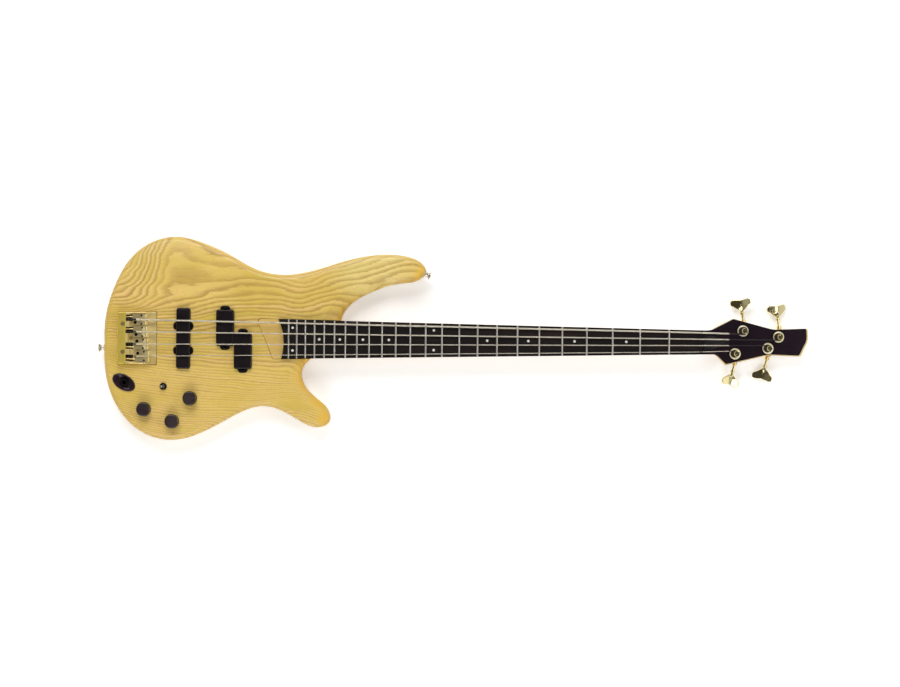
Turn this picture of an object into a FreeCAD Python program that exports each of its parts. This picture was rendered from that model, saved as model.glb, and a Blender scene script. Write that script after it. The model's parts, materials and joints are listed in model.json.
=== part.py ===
"""Electric bass guitar with four strings and a bolt-on neck, in millimetres.

X runs from the bridge end of the scale to the headstock, Y to the bass side,
Z out of the front. The flat of the back lies in z = 0 and the scale ends in x = 0.
"""
import FreeCAD, Part
import math
import os

from FreeCAD import Matrix, Placement, Rotation, Vector

os.makedirs("parts", exist_ok=True)

# Driving dimensions of the neck and the strings
SCALE_LENGTH = 863.6
FRET_COUNT = 24
NUT_WIDTH = 38.0
LAST_FRET_WIDTH = 62.0
BOARD_THICKNESS = 6.0
BOARD_RADIUS = 305.0
FRET_HEIGHT = 1.2
FRET_WIDTH = 2.6
NECK_DEPTH_NUT = 14.5
NECK_DEPTH_MIDDLE = 16.0
NUT_LENGTH = 5.0
NUT_STRING_SPACING = 10.0
BRIDGE_STRING_SPACING = 19.0
STRING_LIFT_NUT = 1.7
STRING_LIFT_BRIDGE = 5.7
STRING_DIAMETERS = (2.67, 2.16, 1.65, 1.14)
STRING_NAMES = ("e", "a", "d", "g")

# Driving dimensions of the body
BODY_WIDTH = 321.0
BODY_THICKNESS = 40.0
EDGE_RADIUS = 9.0
SCOOP_SLOPE = 0.42
POCKET_DEPTH = 18.0
POCKET_GAP = 0.6
HEEL_PROUD = 0.5
ARM_DROP = 9.0
BELLY_DROP = 10.0
CONTOUR_TURN = 14.0
TOP_WALL = 6.0
COVER_THICKNESS = 2.5
ROUTE_DEPTH = 22.0

# Driving dimensions of the headstock and the tuning machines
HEAD_TILT = 6.0
HEAD_THICKNESS = 15.0
VENEER = 1.2
TIP_RIM = 2.4
SIDE_RIM = 1.6
WHEEL_TEETH = 20
WHEEL_PITCH_RADIUS = 5.2
WORM_PITCH_RADIUS = 2.0
POST_RADIUS = 4.0
WAIST_RADIUS = 3.5
KEY_SPAN = 33.5
KEY_REACH = 50.5

# Driving dimensions of the bridge, the pickups and the controls
BRIDGE_LENGTH = 60.5
BRIDGE_WIDTH = 82.0
BRIDGE_PLATE = 3.0
TAIL_BLOCK_LENGTH = 13.0
TAIL_BLOCK_HEIGHT = 11.0
SADDLE_WIDTH = 17.4
SADDLE_TRAVEL = 3.5
LONG_PICKUP_LENGTH = 95.0
LONG_PICKUP_WIDTH = 21.5
SPLIT_PICKUP_LENGTH = 56.4
SPLIT_PICKUP_WIDTH = 27.6
SPLIT_GAP = 0.6
PICKUP_PROUD = 7.0
KNOB_DIAMETER = 23.0
KNOB_HEIGHT = 14.0
JACK_BORE = 6.5

# Levels and positions that follow
PLAN = SCALE_LENGTH / 863.6
ACROSS = BODY_WIDTH / 321.0
TOP = BODY_THICKNESS
POCKET_Z = TOP - POCKET_DEPTH
BOARD_Z = TOP + HEEL_PROUD
BOARD_TOP = BOARD_Z + BOARD_THICKNESS
LAST_FRET_X = SCALE_LENGTH * 2.0 ** (-FRET_COUNT / 12.0)
STRING_Z_NUT = BOARD_TOP + STRING_LIFT_NUT
STRING_Z_BRIDGE = BOARD_TOP + STRING_LIFT_BRIDGE
CAVITY_TOP = TOP - TOP_WALL
ROUTE_Z = TOP - ROUTE_DEPTH
UP = Vector(0, 0, 1)


def fret_x(number):
    return SCALE_LENGTH * 2.0 ** (-number / 12.0)


def neck_half(x):
    """Half the width of the neck and the board at a place along the scale."""
    share = (SCALE_LENGTH - x) / (SCALE_LENGTH - LAST_FRET_X)
    return 0.5 * (NUT_WIDTH + (LAST_FRET_WIDTH - NUT_WIDTH) * max(share, 0.0))


def on_plan(x, y):
    return Vector(x * PLAN, y * ACROSS, 0)


def unit(vector):
    return vector * (1.0 / vector.Length)


# Shape helpers
def rounded_wire(corners):
    """Closed wire in the XY plane through corners (x, y, radius)."""
    count = len(corners)
    starts = []
    middles = []
    ends = []
    for index in range(count):
        here = Vector(corners[index][0], corners[index][1], 0)
        before = corners[index - 1]
        after = corners[(index + 1) % count]
        radius = corners[index][2]
        back = unit(Vector(before[0], before[1], 0) - here)
        on = unit(Vector(after[0], after[1], 0) - here)
        if radius <= 0.0:
            starts.append(here)
            middles.append(None)
            ends.append(here)
            continue
        half = 0.5 * math.acos(max(-1.0, min(1.0, back.dot(on))))
        bisector = unit(back + on)
        reach = radius / math.tan(half)
        starts.append(here + back * reach)
        middles.append(here + bisector * (radius / math.sin(half) - radius))
        ends.append(here + on * reach)
    edges = []
    for index in range(count):
        if middles[index] is not None:
            edges.append(Part.Arc(starts[index], middles[index], ends[index]).toShape())
        following = starts[(index + 1) % count]
        if ends[index].distanceToPoint(following) > 1e-6:
            edges.append(Part.makeLine(ends[index], following))
    return Part.Wire(edges)


def rectangle(x_size, y_size, radius, centre=Vector(0, 0, 0)):
    x = 0.5 * x_size
    y = 0.5 * y_size
    corners = ((-x, -y), (x, -y), (x, y), (-x, y))
    return rounded_wire([(centre.x + a, centre.y + b, radius) for a, b in corners])


def ellipse(long_half, short_half, centre, turn):
    curve = Part.Ellipse(Vector(0, 0, 0), long_half, short_half)
    wire = Part.Wire([curve.toShape()])
    wire.Placement = Placement(centre, Rotation(UP, turn))
    return wire


def prism(wire, low, high):
    face = Part.Face(wire)
    face.translate(Vector(0, 0, low))
    return face.extrude(Vector(0, 0, high - low))


def block(x0, x1, y0, y1, z0, z1):
    return Part.makeBox(x1 - x0, y1 - y0, z1 - z0, Vector(x0, y0, z0))


def rod(start, end, radius):
    along = end - start
    return Part.makeCylinder(radius, along.Length, start, along)


def lathe(profile, base=Vector(0, 0, 0), axis=UP):
    """Turned solid from (radius, height) corners about an axis from a base."""
    points = [Vector(radius, 0, height) for radius, height in profile]
    face = Part.Face(Part.makePolygon(points + points[:1]))
    solid = face.revolve(Vector(0, 0, 0), UP, 360)
    solid.Placement = Placement(base, Rotation(UP, axis))
    return solid


def hex_prism(across_corners, low, high, centre):
    points = []
    for step in range(6):
        angle = math.radians(60 * step)
        points.append(Vector(across_corners * math.cos(angle), across_corners * math.sin(angle), 0))
    wire = Part.makePolygon(points + points[:1])
    wire.translate(Vector(centre.x, centre.y, 0))
    return prism(wire, low, high)


def in_frame(shape, origin, u, v, w):
    """Moves a shape built at the origin into the frame with axes u, v, w."""
    matrix = Matrix(u.x, v.x, w.x, origin.x, u.y, v.y, w.y, origin.y, u.z, v.z, w.z, origin.z, 0, 0, 0, 1)
    moved = shape.copy()
    moved.Placement = Placement(matrix).multiply(moved.Placement)
    return moved


def cross_slot(head_radius, depth):
    arm = 0.72 * head_radius
    thin = 0.16 * head_radius
    first = block(-arm, arm, -thin, thin, -depth, 1.0)
    return first.fuse(block(-thin, thin, -arm, arm, -depth, 1.0))


def pan_screw(seat, axis, head_radius, head_height, shank_radius, length):
    """Screw with a domed head that stands on seat; axis points out of the head."""
    profile = [(0, -length), (0.4 * shank_radius, -length), (shank_radius, 1.6 * shank_radius - length),
               (shank_radius, 0), (head_radius, 0), (head_radius, 0.45 * head_height),
               (0.7 * head_radius, 0.9 * head_height), (0, head_height)]
    solid = lathe(profile)
    slot = cross_slot(head_radius, 0.5 * head_height)
    slot.translate(Vector(0, 0, head_height))
    solid = solid.cut(slot)
    solid.Placement = Placement(seat, Rotation(UP, axis))
    return solid


def flat_screw(mouth, axis, head_radius, shank_radius, length):
    """Countersunk screw flush at mouth; axis points out of the head."""
    sink = head_radius - shank_radius
    profile = [(0, -length), (0.4 * shank_radius, -length), (shank_radius, 1.6 * shank_radius - length),
               (shank_radius, -sink), (head_radius, 0), (0, 0)]
    solid = lathe(profile).cut(cross_slot(head_radius, 0.6 * sink + 0.2))
    solid.Placement = Placement(mouth, Rotation(UP, axis))
    return solid


def sink_cutter(mouth, axis, head_radius, shank_radius, length):
    """Countersunk hole that a flat screw fills."""
    sink = head_radius - shank_radius
    profile = [(0, -length), (shank_radius, -length), (shank_radius, -sink), (head_radius, 0),
               (head_radius, 5), (0, 5)]
    return lathe(profile, mouth, axis)


def soften(solid, radius, wanted):
    """Rounds the edges that wanted picks, or leaves the solid as it is."""
    edges = [edge for edge in solid.Edges if wanted(edge)]
    return solid.makeFillet(radius, edges) if edges else solid


def at_height(level):
    def lies_there(edge):
        return edge.BoundBox.ZLength < 1e-3 and all(abs(vertex.Z - level) < 1e-4 for vertex in edge.Vertexes)

    return lies_there


def save(name, *solids):
    shape = solids[0] if len(solids) == 1 else Part.makeCompound(list(solids))
    shape.exportStep("parts/%s.step" % name)


# Body outline: tail, bass bout, long horn, heel under the neck, short horn, treble bout
OUTLINE = ((-75.5, 2), (-71.5, 46), (-57.5, 88), (-33, 128.5), (2, 153.5), (38, 160.4), (78, 151.5),
           (122, 132), (163, 110), (203, 101.5), (255, 108.7), (312, 126.3), (364, 134.5), (404, 131.2),
           (424.5, 121.5), (431.3, 109.5), (423.5, 97.4), (386, 88.4), (346, 75.2), (315.5, 57.8),
           (301.5, 40.5), (294.5, 20), (277, -7), (252, -29), (236.5, -49.5), (239.5, -70), (262, -95),
           (279, -112.5), (280.5, -130), (263.5, -139), (239, -132), (211, -116), (175, -106.3),
           (137.5, -117.7), (87.5, -144.8), (37, -160.6), (-12, -150.6), (-46.5, -121), (-67.5, -80.5),
           (-75.6, -30))
KNOB_PLACES = (on_plan(-11.7, -112.2), on_plan(32.9, -131.0), on_plan(60.9, -94.5))
SWITCH_PLACE = on_plan(18.7, -76.1)
JACK_PLACE = on_plan(-43.4, -70.3)
JACK_TURN = -30.0
HORN_SEAT = on_plan(428.4, 105.9)
TAIL_SEAT = on_plan(-74.6, -16.0)
ARM_START = 0.187 * BODY_WIDTH
BELLY_START = 0.2056 * BODY_WIDTH
CONTOUR_EDGE = 0.458 * BODY_WIDTH
SCOOP_FIRST = 16
SCOOP_WIDTHS = (6, 14, 18.5, 21, 23, 24, 23, 21, 20, 19, 16, 13, 8)
CAVITY = ((-57, -56, 10), (34, -56, 12), (82, -84, 14), (60, -124, 12), (38, -146, 10), (14, -146, 12),
          (-28, -128, 14), (-54, -92, 12))
LEDGE = 5.0


def cavity_wire():
    corners = []
    for x, y, radius in CAVITY:
        point = on_plan(x, y)
        corners.append((point.x, point.y, radius))
    return rounded_wire(corners)


def cover_screw_places():
    """Middles of the ledge along every second side of the cavity."""
    places = []
    for index in (0, 2, 4, 6, 7):
        first = on_plan(*CAVITY[index][:2])
        second = on_plan(*CAVITY[(index + 1) % len(CAVITY)][:2])
        along = unit(second - first)
        outward = Vector(-along.y, along.x, 0)
        places.append((first + second) * 0.5 + outward * (0.52 * LEDGE))
    return places


def contour_block():
    """Long bar whose bass side falls away at the front and the back."""
    limit = CONTOUR_EDGE + 4.0
    low = -2.0 * BODY_WIDTH

    def fall(start, drop, y):
        radius = ((CONTOUR_EDGE - start) ** 2 + drop ** 2) / (2.0 * drop)
        return radius - math.sqrt(radius ** 2 - (y - start) ** 2)

    def front(y):
        return Vector(0, y, TOP - fall(ARM_START, ARM_DROP, y))

    def back(y):
        return Vector(0, y, fall(BELLY_START, BELLY_DROP, y))

    corner_back = Vector(0, low, 0)
    corner_front = Vector(0, low, TOP)
    edges = [Part.makeLine(corner_back, back(BELLY_START)),
             Part.Arc(back(BELLY_START), back(0.5 * (BELLY_START + limit)), back(limit)).toShape(),
             Part.makeLine(back(limit), front(limit)),
             Part.Arc(front(limit), front(0.5 * (ARM_START + limit)), front(ARM_START)).toShape(),
             Part.makeLine(front(ARM_START), corner_front),
             Part.makeLine(corner_front, corner_back)]
    face = Part.Face(Part.Wire(edges))
    face.translate(Vector(-SCALE_LENGTH, 0, 0))
    bar = face.extrude(Vector(2.0 * SCALE_LENGTH, 0, 0))
    bar.rotate(Vector(0, 0, 0), UP, CONTOUR_TURN)
    return bar


def outline_course():
    """Points of the outline and the heading of the rim in each of them."""
    points = [on_plan(x, y) for x, y in OUTLINE]
    guide = Part.BSplineCurve()
    guide.interpolate(Points=points, PeriodicFlag=True)
    headings = [unit(Vector(*guide.tangent(guide.parameter(point))[0])) for point in points]
    return points, headings


def outline_wire():
    """Chain of tangent arcs through the chosen points of the outline."""
    points, headings = outline_course()
    edges = []
    for index in range(len(points)):
        after = (index + 1) % len(points)
        edges.extend(biarc(points[index], headings[index], points[after], headings[after]))
    return Part.Wire(edges)


def is_wall(face):
    """True for the upright faces of the rim."""
    surface = face.Surface
    return surface.TypeId == "Part::GeomCylinder" and abs(surface.Axis.z) > 0.99


def scoop_cutter():
    """Rounded bevel along both cutaways, widest beside the neck and running out at the horns."""
    points, headings = outline_course()
    lift = 1.0
    outside = -8.0
    sections = []
    for step, width in enumerate(SCOOP_WIDTHS):
        rim = points[SCOOP_FIRST + step]
        heading = headings[SCOOP_FIRST + step]
        inward = Vector(heading.y, -heading.x, 0)
        depth = SCOOP_SLOPE * width
        course = ((width + 3.0 * lift, lift), (width, 0.0), (0.5 * width, -0.38 * depth),
                  (0.16 * width, -0.78 * depth), (-1.0, -1.45 * depth))
        across = [rim + inward * reach + UP * (TOP + level) for reach, level in course]
        curve = Part.BSplineCurve()
        curve.interpolate(across)
        low = rim + inward * outside + UP * (TOP - 1.45 * depth)
        high = rim + inward * outside + UP * (TOP + lift)
        sections.append(Part.Wire([curve.toShape(), Part.makeLine(across[-1], low), Part.makeLine(low, high),
                                   Part.makeLine(high, across[0])]))
    return Part.makeLoft(sections, True, False)


def body_blank():
    outline = outline_wire()
    slab = prism(outline, -5, TOP + 5)
    blank = slab.common(contour_block())
    tightest = min(edge.Curve.Radius for edge in outline.Edges if edge.Curve.TypeId == "Part::GeomCircle")
    rim = []
    for edge in blank.Edges:
        faces = blank.ancestorsOfType(edge, Part.Face)
        if len(faces) == 2 and is_wall(faces[0]) != is_wall(faces[1]):
            rim.append(edge)
    return blank.makeFillet(min(EDGE_RADIUS, 0.95 * tightest), rim).cut(scoop_cutter())


# Neck heel: a tongue with a slanted end that reaches past the board
HEEL_BASS_X = LAST_FRET_X - 50.5
HEEL_TREBLE_X = LAST_FRET_X - 24.5
HEEL_FRONT_X = LAST_FRET_X + 86.0
BOLTS = ((LAST_FRET_X - 20.0, 20.0), (LAST_FRET_X - 8.0, -20.0), (LAST_FRET_X + 57.0, 20.0),
         (LAST_FRET_X + 26.0, -18.0))


def heel_wire(grow, front):
    bass = HEEL_BASS_X - grow
    treble = HEEL_TREBLE_X - grow
    return rounded_wire(((bass, neck_half(bass) + grow, 5.0), (treble, -neck_half(treble) - grow, 4.0),
                         (front, -neck_half(front) - grow, 0), (front, neck_half(front) + grow, 0)))


def neck_section(x, depth, power, half=None):
    """D-shaped section across the neck; a high power makes it boxy."""
    half = neck_half(x) if half is None else half
    points = []
    for step in range(13):
        angle = math.pi * step / 12
        cosine = math.cos(angle)
        side = math.copysign(abs(cosine) ** (2.0 / power), cosine)
        drop = max(math.sin(angle), 0.0) ** (2.0 / power)
        points.append(Vector(x, half * side, BOARD_Z - depth * drop))
    points[0] = Vector(x, half, BOARD_Z)
    points[-1] = Vector(x, -half, BOARD_Z)
    curve = Part.BSplineCurve()
    curve.interpolate(points)
    return Part.Wire([curve.toShape(), Part.makeLine(points[-1], points[0])])


# Headstock frame: origin behind the nut on the black face, u to the tip, w out of the face
TILT = math.radians(HEAD_TILT)
HEAD_U = Vector(math.cos(TILT), 0, -math.sin(TILT))
HEAD_V = Vector(0, 1, 0)
HEAD_W = Vector(math.sin(TILT), 0, math.cos(TILT))
HEAD_O = Vector(SCALE_LENGTH + NUT_LENGTH, 0, BOARD_Z) + HEAD_W * VENEER
HEAD_CORNERS = ((13, 19.2, 26), (48.6, 37.6, 4), (113, 21.0, 45), (168.2, 23.2, 2.5), (169.2, 5.0, 22),
                (157.0, -21.2, 4), (105, -19.6, 45), (37.2, -35.6, 4), (21.0, -18.6, 12))
BLADE_START = 19.0
TIP_START = 150.0
TUNER_POSTS = ((63.9, 18.6), (121.1, 9.4), (104.1, -8.7), (51.5, -17.5))
TUNER_LEANS = (9.0, 8.0, 15.0, 14.0)
TUNER_REST = (24.0, -14.0, 18.0, -26.0)


def to_head(shape):
    return in_frame(shape, HEAD_O, HEAD_U, HEAD_V, HEAD_W)


def head_point(u, v, w):
    return HEAD_O + HEAD_U * u + HEAD_V * v + HEAD_W * w


def head_wire(tip, side):
    """Outline of the headstock, drawn in by tip at its end and by side along the treble edge."""
    half = 0.5 * NUT_WIDTH
    corners = [(0, half, 0)]
    for u, v, radius in HEAD_CORNERS:
        drawn_u = u - tip if u > TIP_START else u
        drawn_v = v + side if v < -half else v
        corners.append((drawn_u, drawn_v, radius))
    corners.append((0, -half, 0))
    return rounded_wire(corners)


def neck_shape():
    sections = [neck_section(HEEL_FRONT_X, POCKET_DEPTH + HEEL_PROUD, 7.0),
                neck_section(HEEL_FRONT_X + 32, NECK_DEPTH_MIDDLE + 1.2, 3.2),
                neck_section(HEEL_FRONT_X + 80, NECK_DEPTH_MIDDLE + 0.4, 2.3),
                neck_section(0.5 * SCALE_LENGTH, NECK_DEPTH_MIDDLE, 2.2),
                neck_section(0.74 * SCALE_LENGTH, 0.5 * (NECK_DEPTH_MIDDLE + NECK_DEPTH_NUT), 2.15),
                neck_section(0.95 * SCALE_LENGTH, NECK_DEPTH_NUT, 2.1),
                neck_section(SCALE_LENGTH + NUT_LENGTH, NECK_DEPTH_NUT, 2.3)]
    shaft = Part.makeLoft(sections, True, False)
    heel = prism(heel_wire(0.0, HEEL_FRONT_X), POCKET_Z, BOARD_Z)
    half = 0.5 * NUT_WIDTH
    wood = HEAD_THICKNESS - VENEER
    root = neck_section(SCALE_LENGTH + NUT_LENGTH, NECK_DEPTH_NUT, 2.3)
    boxy = neck_section(0, wood, 9.0, half)
    boxy.translate(Vector(24, 0, -BOARD_Z - VENEER))
    blend = Part.makeLoft([root, to_head(boxy)], True, True)
    far = SCALE_LENGTH
    past = block(BLADE_START, BLADE_START + far, -far, far, -far, far)
    blade = prism(head_wire(0.0, 0.0), -HEAD_THICKNESS, -VENEER).common(past)
    back = at_height(-HEAD_THICKNESS)
    blade = soften(blade, 2.0, lambda edge: back(edge) and edge.BoundBox.XMin > BLADE_START + 0.5)
    neck = shaft.fuse([heel, blend, to_head(blade)])
    cutters = []
    for u, v in TUNER_POSTS:
        cutters.append(rod(head_point(u, v, 1), head_point(u, v, -HEAD_THICKNESS - 1), 7.0))
    for index in range(4):
        cutters.append(rod(tuner_point(index, *TAB_SCREW, -HEAD_THICKNESS - 1),
                           tuner_point(index, *TAB_SCREW, 8 - HEAD_THICKNESS), 1.1))
    cutters.append(block(ROD_START, SCALE_LENGTH + NUT_LENGTH + 2, -3.1, 3.1, ROD_Z, BOARD_Z + 1))
    cutters.append(to_head(prism(rectangle(34, 12.4, 5, Vector(15, 0, 0)), -11.5, 5)))
    for x, y in BOLTS:
        cutters.append(rod(Vector(x, y, 0), Vector(x, y, POCKET_Z + 13), 2.5))
    for u, v in COVER_PINS:
        cutters.append(rod(head_point(u, v, 1), head_point(u, v, -7), 1.0))
    return neck.cut(cutters)


# Truss rod and its cover
ROD_START = LAST_FRET_X + 14.0
ROD_Z = BOARD_Z - 9.0
COVER_PINS = ((4.5, 8.6), (4.5, -8.6), (37.5, 0.0))


def truss_rod_shapes():
    end = SCALE_LENGTH + NUT_LENGTH + 9
    bar = block(ROD_START + 0.5, end, -3.0, 3.0, ROD_Z, BOARD_Z - 1.2)
    nut = rod(Vector(end, 0, ROD_Z + 3.9), Vector(end + 11, 0, ROD_Z + 3.9), 3.7)
    socket = rod(Vector(end + 5, 0, ROD_Z + 3.9), Vector(end + 12, 0, ROD_Z + 3.9), 2.2)
    return bar, nut.cut(socket)


def rod_cover_shapes():
    wire = rounded_wire(((0.6, 11.6, 1.5), (0.6, -11.6, 1.5), (14, -10.6, 16), (41, -3.2, 3), (41, 3.2, 3),
                         (14, 10.6, 16)))
    plate = prism(wire, 0, 2.0)
    plate = soften(plate, 0.7, at_height(2.0))
    pins = []
    for u, v in COVER_PINS:
        plate = plate.cut(sink_cutter(Vector(u, v, 2.0), UP, 1.9, 1.0, 4))
        pins.append(to_head(flat_screw(Vector(u, v, 2.0), UP, 1.9, 1.0, 8.4)))
    return to_head(plate), pins


def veneer_shape():
    """Black face, drawn in from the tip and the treble side so that bare wood shows there."""
    plate = prism(head_wire(TIP_RIM, SIDE_RIM), -VENEER, 0)
    plate = soften(plate, 0.5, lambda edge: at_height(0)(edge) and edge.BoundBox.XMin > 0.5)
    cutters = [prism(rectangle(34, 12.4, 5, Vector(15, 0, 0)), -5, 5)]
    for u, v in TUNER_POSTS:
        cutters.append(rod(Vector(u, v, -5), Vector(u, v, 5), 7.0))
    for u, v in COVER_PINS:
        cutters.append(rod(Vector(u, v, -5), Vector(u, v, 5), 1.0))
    return to_head(plate.cut(cutters))


# Fretboard with its frets and dots
BOARD_END_X = LAST_FRET_X - 16.0
DOT_FRETS = (3, 5, 7, 9, 15, 17, 19, 21)
TWIN_FRETS = (12, 24)
DOT_RADIUS = 2.0
SIDE_DOT_RADIUS = 1.0
SIDE_DOT_Z = BOARD_Z + 0.4 * BOARD_THICKNESS
DOT_DEPTH = 3.5
TANG_DEPTH = 2.0
TANG_HALF = 0.3


def crown(radius):
    """Cylinder along the neck whose top is the arch of the board."""
    start = Vector(-0.5 * SCALE_LENGTH, 0, BOARD_TOP - BOARD_RADIUS)
    return Part.makeCylinder(radius, 2.0 * SCALE_LENGTH, start, Vector(1, 0, 0))


def dot_places():
    places = []
    for number in DOT_FRETS:
        places.append((0.5 * (fret_x(number) + fret_x(number - 1)), 0.0))
    for number in TWIN_FRETS:
        middle = 0.5 * (fret_x(number) + fret_x(number - 1))
        places.append((middle, 0.58 * neck_half(middle)))
        places.append((middle, -0.58 * neck_half(middle)))
    return places


def side_dots(grow):
    dots = []
    for number in DOT_FRETS + TWIN_FRETS:
        middle = 0.5 * (fret_x(number) + fret_x(number - 1))
        shifts = (-2.4, 2.4) if number in TWIN_FRETS else (0.0,)
        for shift in shifts:
            x = middle + shift
            y = neck_half(x)
            dots.append(rod(Vector(x, y - 2.5, SIDE_DOT_Z), Vector(x, y + grow, SIDE_DOT_Z), SIDE_DOT_RADIUS))
    return dots


def board_plan():
    """Plan of the board: tapered, its bridge end a hollow curve."""
    wide = neck_half(BOARD_END_X)
    narrow = 0.5 * NUT_WIDTH
    bass = Vector(BOARD_END_X, wide, 0)
    treble = Vector(BOARD_END_X + 4.5, -neck_half(BOARD_END_X + 4.5), 0)
    hollow = Vector(BOARD_END_X + 8.3, -4.0, 0)
    far_treble = Vector(SCALE_LENGTH, -narrow, 0)
    far_bass = Vector(SCALE_LENGTH, narrow, 0)
    return Part.Wire([Part.Arc(bass, hollow, treble).toShape(), Part.makeLine(treble, far_treble),
                      Part.makeLine(far_treble, far_bass), Part.makeLine(far_bass, bass)])


def fret_profile(x):
    """Section of one fret: a rounded bead with a thin tang under it."""
    low = Vector(x, 0, BOARD_TOP)
    tang = Vector(TANG_HALF, 0, 0)
    half = Vector(0.5 * FRET_WIDTH, 0, 0)
    foot = UP * -TANG_DEPTH
    corners = [low - half, low - tang, low - tang + foot, low + tang + foot, low + tang, low + half]
    edges = [Part.makeLine(first, second) for first, second in zip(corners, corners[1:])]
    edges.append(Part.Arc(corners[-1], low + UP * FRET_HEIGHT, corners[0]).toShape())
    return Part.Face(Part.Wire(edges))


def swept_ring(face, x, half, reach):
    """Turns a section about the axis of the arch over the width of the board."""
    angle = math.degrees(math.asin((half - reach) / BOARD_RADIUS))
    centre = Vector(x, 0, BOARD_TOP - BOARD_RADIUS)
    start = face.copy()
    start.rotate(centre, Vector(1, 0, 0), -angle)
    return start.revolve(centre, Vector(1, 0, 0), 2.0 * angle)


def fret_shapes():
    frets = []
    for number in range(1, FRET_COUNT + 1):
        x = fret_x(number)
        frets.append(swept_ring(fret_profile(x), x, neck_half(x), 0.35))
    return frets


def board_shape():
    board = prism(board_plan(), BOARD_Z, BOARD_TOP + 1).common(crown(BOARD_RADIUS))
    cutters = []
    for number in range(1, FRET_COUNT + 1):
        x = fret_x(number)
        low = BOARD_TOP - TANG_DEPTH
        high = BOARD_TOP + 1
        left = x - TANG_HALF
        right = x + TANG_HALF
        corners = [Vector(left, 0, low), Vector(right, 0, low), Vector(right, 0, high), Vector(left, 0, high)]
        face = Part.Face(Part.makePolygon(corners + corners[:1]))
        cutters.append(swept_ring(face, x, neck_half(x), 0.35))
    for x, y in dot_places():
        cutters.append(rod(Vector(x, y, BOARD_TOP - DOT_DEPTH), Vector(x, y, BOARD_TOP + 1), DOT_RADIUS))
    cutters.extend(side_dots(1.0))
    return board.cut(cutters)


def dot_shapes():
    arch = crown(BOARD_RADIUS)
    dots = []
    for x, y in dot_places():
        dot = rod(Vector(x, y, BOARD_TOP - DOT_DEPTH), Vector(x, y, BOARD_TOP + 1), DOT_RADIUS)
        dots.append(dot.common(arch).Solids[0])
    edge = prism(board_plan(), BOARD_Z, BOARD_TOP)
    for dot in side_dots(1.0):
        dots.append(dot.common(edge).Solids[0])
    return dots


# Strings: anchor in the tail block, bend before the saddle crown, nut, post
CROWN_X = (-9.0, -7.5, -6.0, -4.5)
ANCHOR_X = 14.9 - BRIDGE_LENGTH
ANCHOR_Z = TOP + 7.2
BEND_BEHIND = SADDLE_TRAVEL + 1.2
WRAP_GAP = 0.3
TURN_GAP = 0.5
WRAP_TURNS = (1.6, 1.75, 2.0, 2.2)
WRAP_TOP = (9.4, 9.4, 9.2, 9.0)


def arch_drop(y):
    return BOARD_RADIUS - math.sqrt(BOARD_RADIUS ** 2 - y ** 2)


def string_line(index, x):
    """Centre of a string over the frets, carried on past both ends."""
    bridge_y = (1.5 - index) * BRIDGE_STRING_SPACING
    nut_y = (1.5 - index) * NUT_STRING_SPACING
    radius = 0.5 * STRING_DIAMETERS[index]
    share = x / SCALE_LENGTH
    low = STRING_Z_BRIDGE - arch_drop(bridge_y)
    high = STRING_Z_NUT - arch_drop(nut_y)
    return Vector(x, bridge_y + (nut_y - bridge_y) * share, low + (high - low) * share + radius)


def string_anchor(index):
    line = string_line(index, ANCHOR_X)
    return Vector(line.x, line.y, ANCHOR_Z)


def arc_edge(start, tangent, end):
    """Arc that leaves start along tangent and reaches end."""
    chord = end - start
    aside = chord - tangent * chord.dot(tangent)
    if aside.Length < 1e-7:
        return Part.makeLine(start, end)
    normal = unit(aside)
    sweep = 2.0 * math.atan2(chord.dot(normal), chord.dot(tangent))
    radius = chord.dot(chord) / (2.0 * chord.dot(normal))
    half = 0.5 * sweep
    middle = start + tangent * (radius * math.sin(half)) + normal * (radius * (1.0 - math.cos(half)))
    return Part.Arc(start, middle, end).toShape()


def biarc(start, tangent, end, end_tangent):
    """Two arcs with one tangent where they meet."""
    chord = end - start
    both = tangent + end_tangent
    spread = 1.0 - tangent.dot(end_tangent)
    reach = chord.dot(both)
    if spread < 1e-9:
        size = chord.dot(chord) / (2.0 * reach)
    else:
        size = (math.sqrt(reach ** 2 + 2.0 * spread * chord.dot(chord)) - reach) / (2.0 * spread)
    joint = (start + end + (tangent - end_tangent) * size) * 0.5
    first = arc_edge(start, tangent, joint)
    meeting = unit(joint - start) * (2.0 * unit(joint - start).dot(tangent)) - tangent
    return first, arc_edge(joint, meeting, end)


def bend(before, corner, after, radius):
    """Tangent points and arc that round one corner of a path."""
    into = unit(corner - before)
    out = unit(after - corner)
    angle = math.acos(max(-1.0, min(1.0, into.dot(out))))
    reach = radius * math.tan(0.5 * angle)
    start = corner - into * reach
    end = corner + out * reach
    return start, arc_edge(start, into, end), end


def tube(edges, radius):
    wire = Part.Wire(edges)
    first = edges[0]
    start = first.Vertexes[0].Point
    direction = first.tangentAt(first.FirstParameter)
    ring = Part.Wire([Part.Circle(start, direction, radius).toShape()])
    shell = Part.BRepOffsetAPI.MakePipeShell(wire)
    shell.add(ring)
    shell.build()
    shell.makeSolid()
    solid = shell.shape()
    return (solid.Solids[0] if solid.Solids else solid), wire.Length


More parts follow.
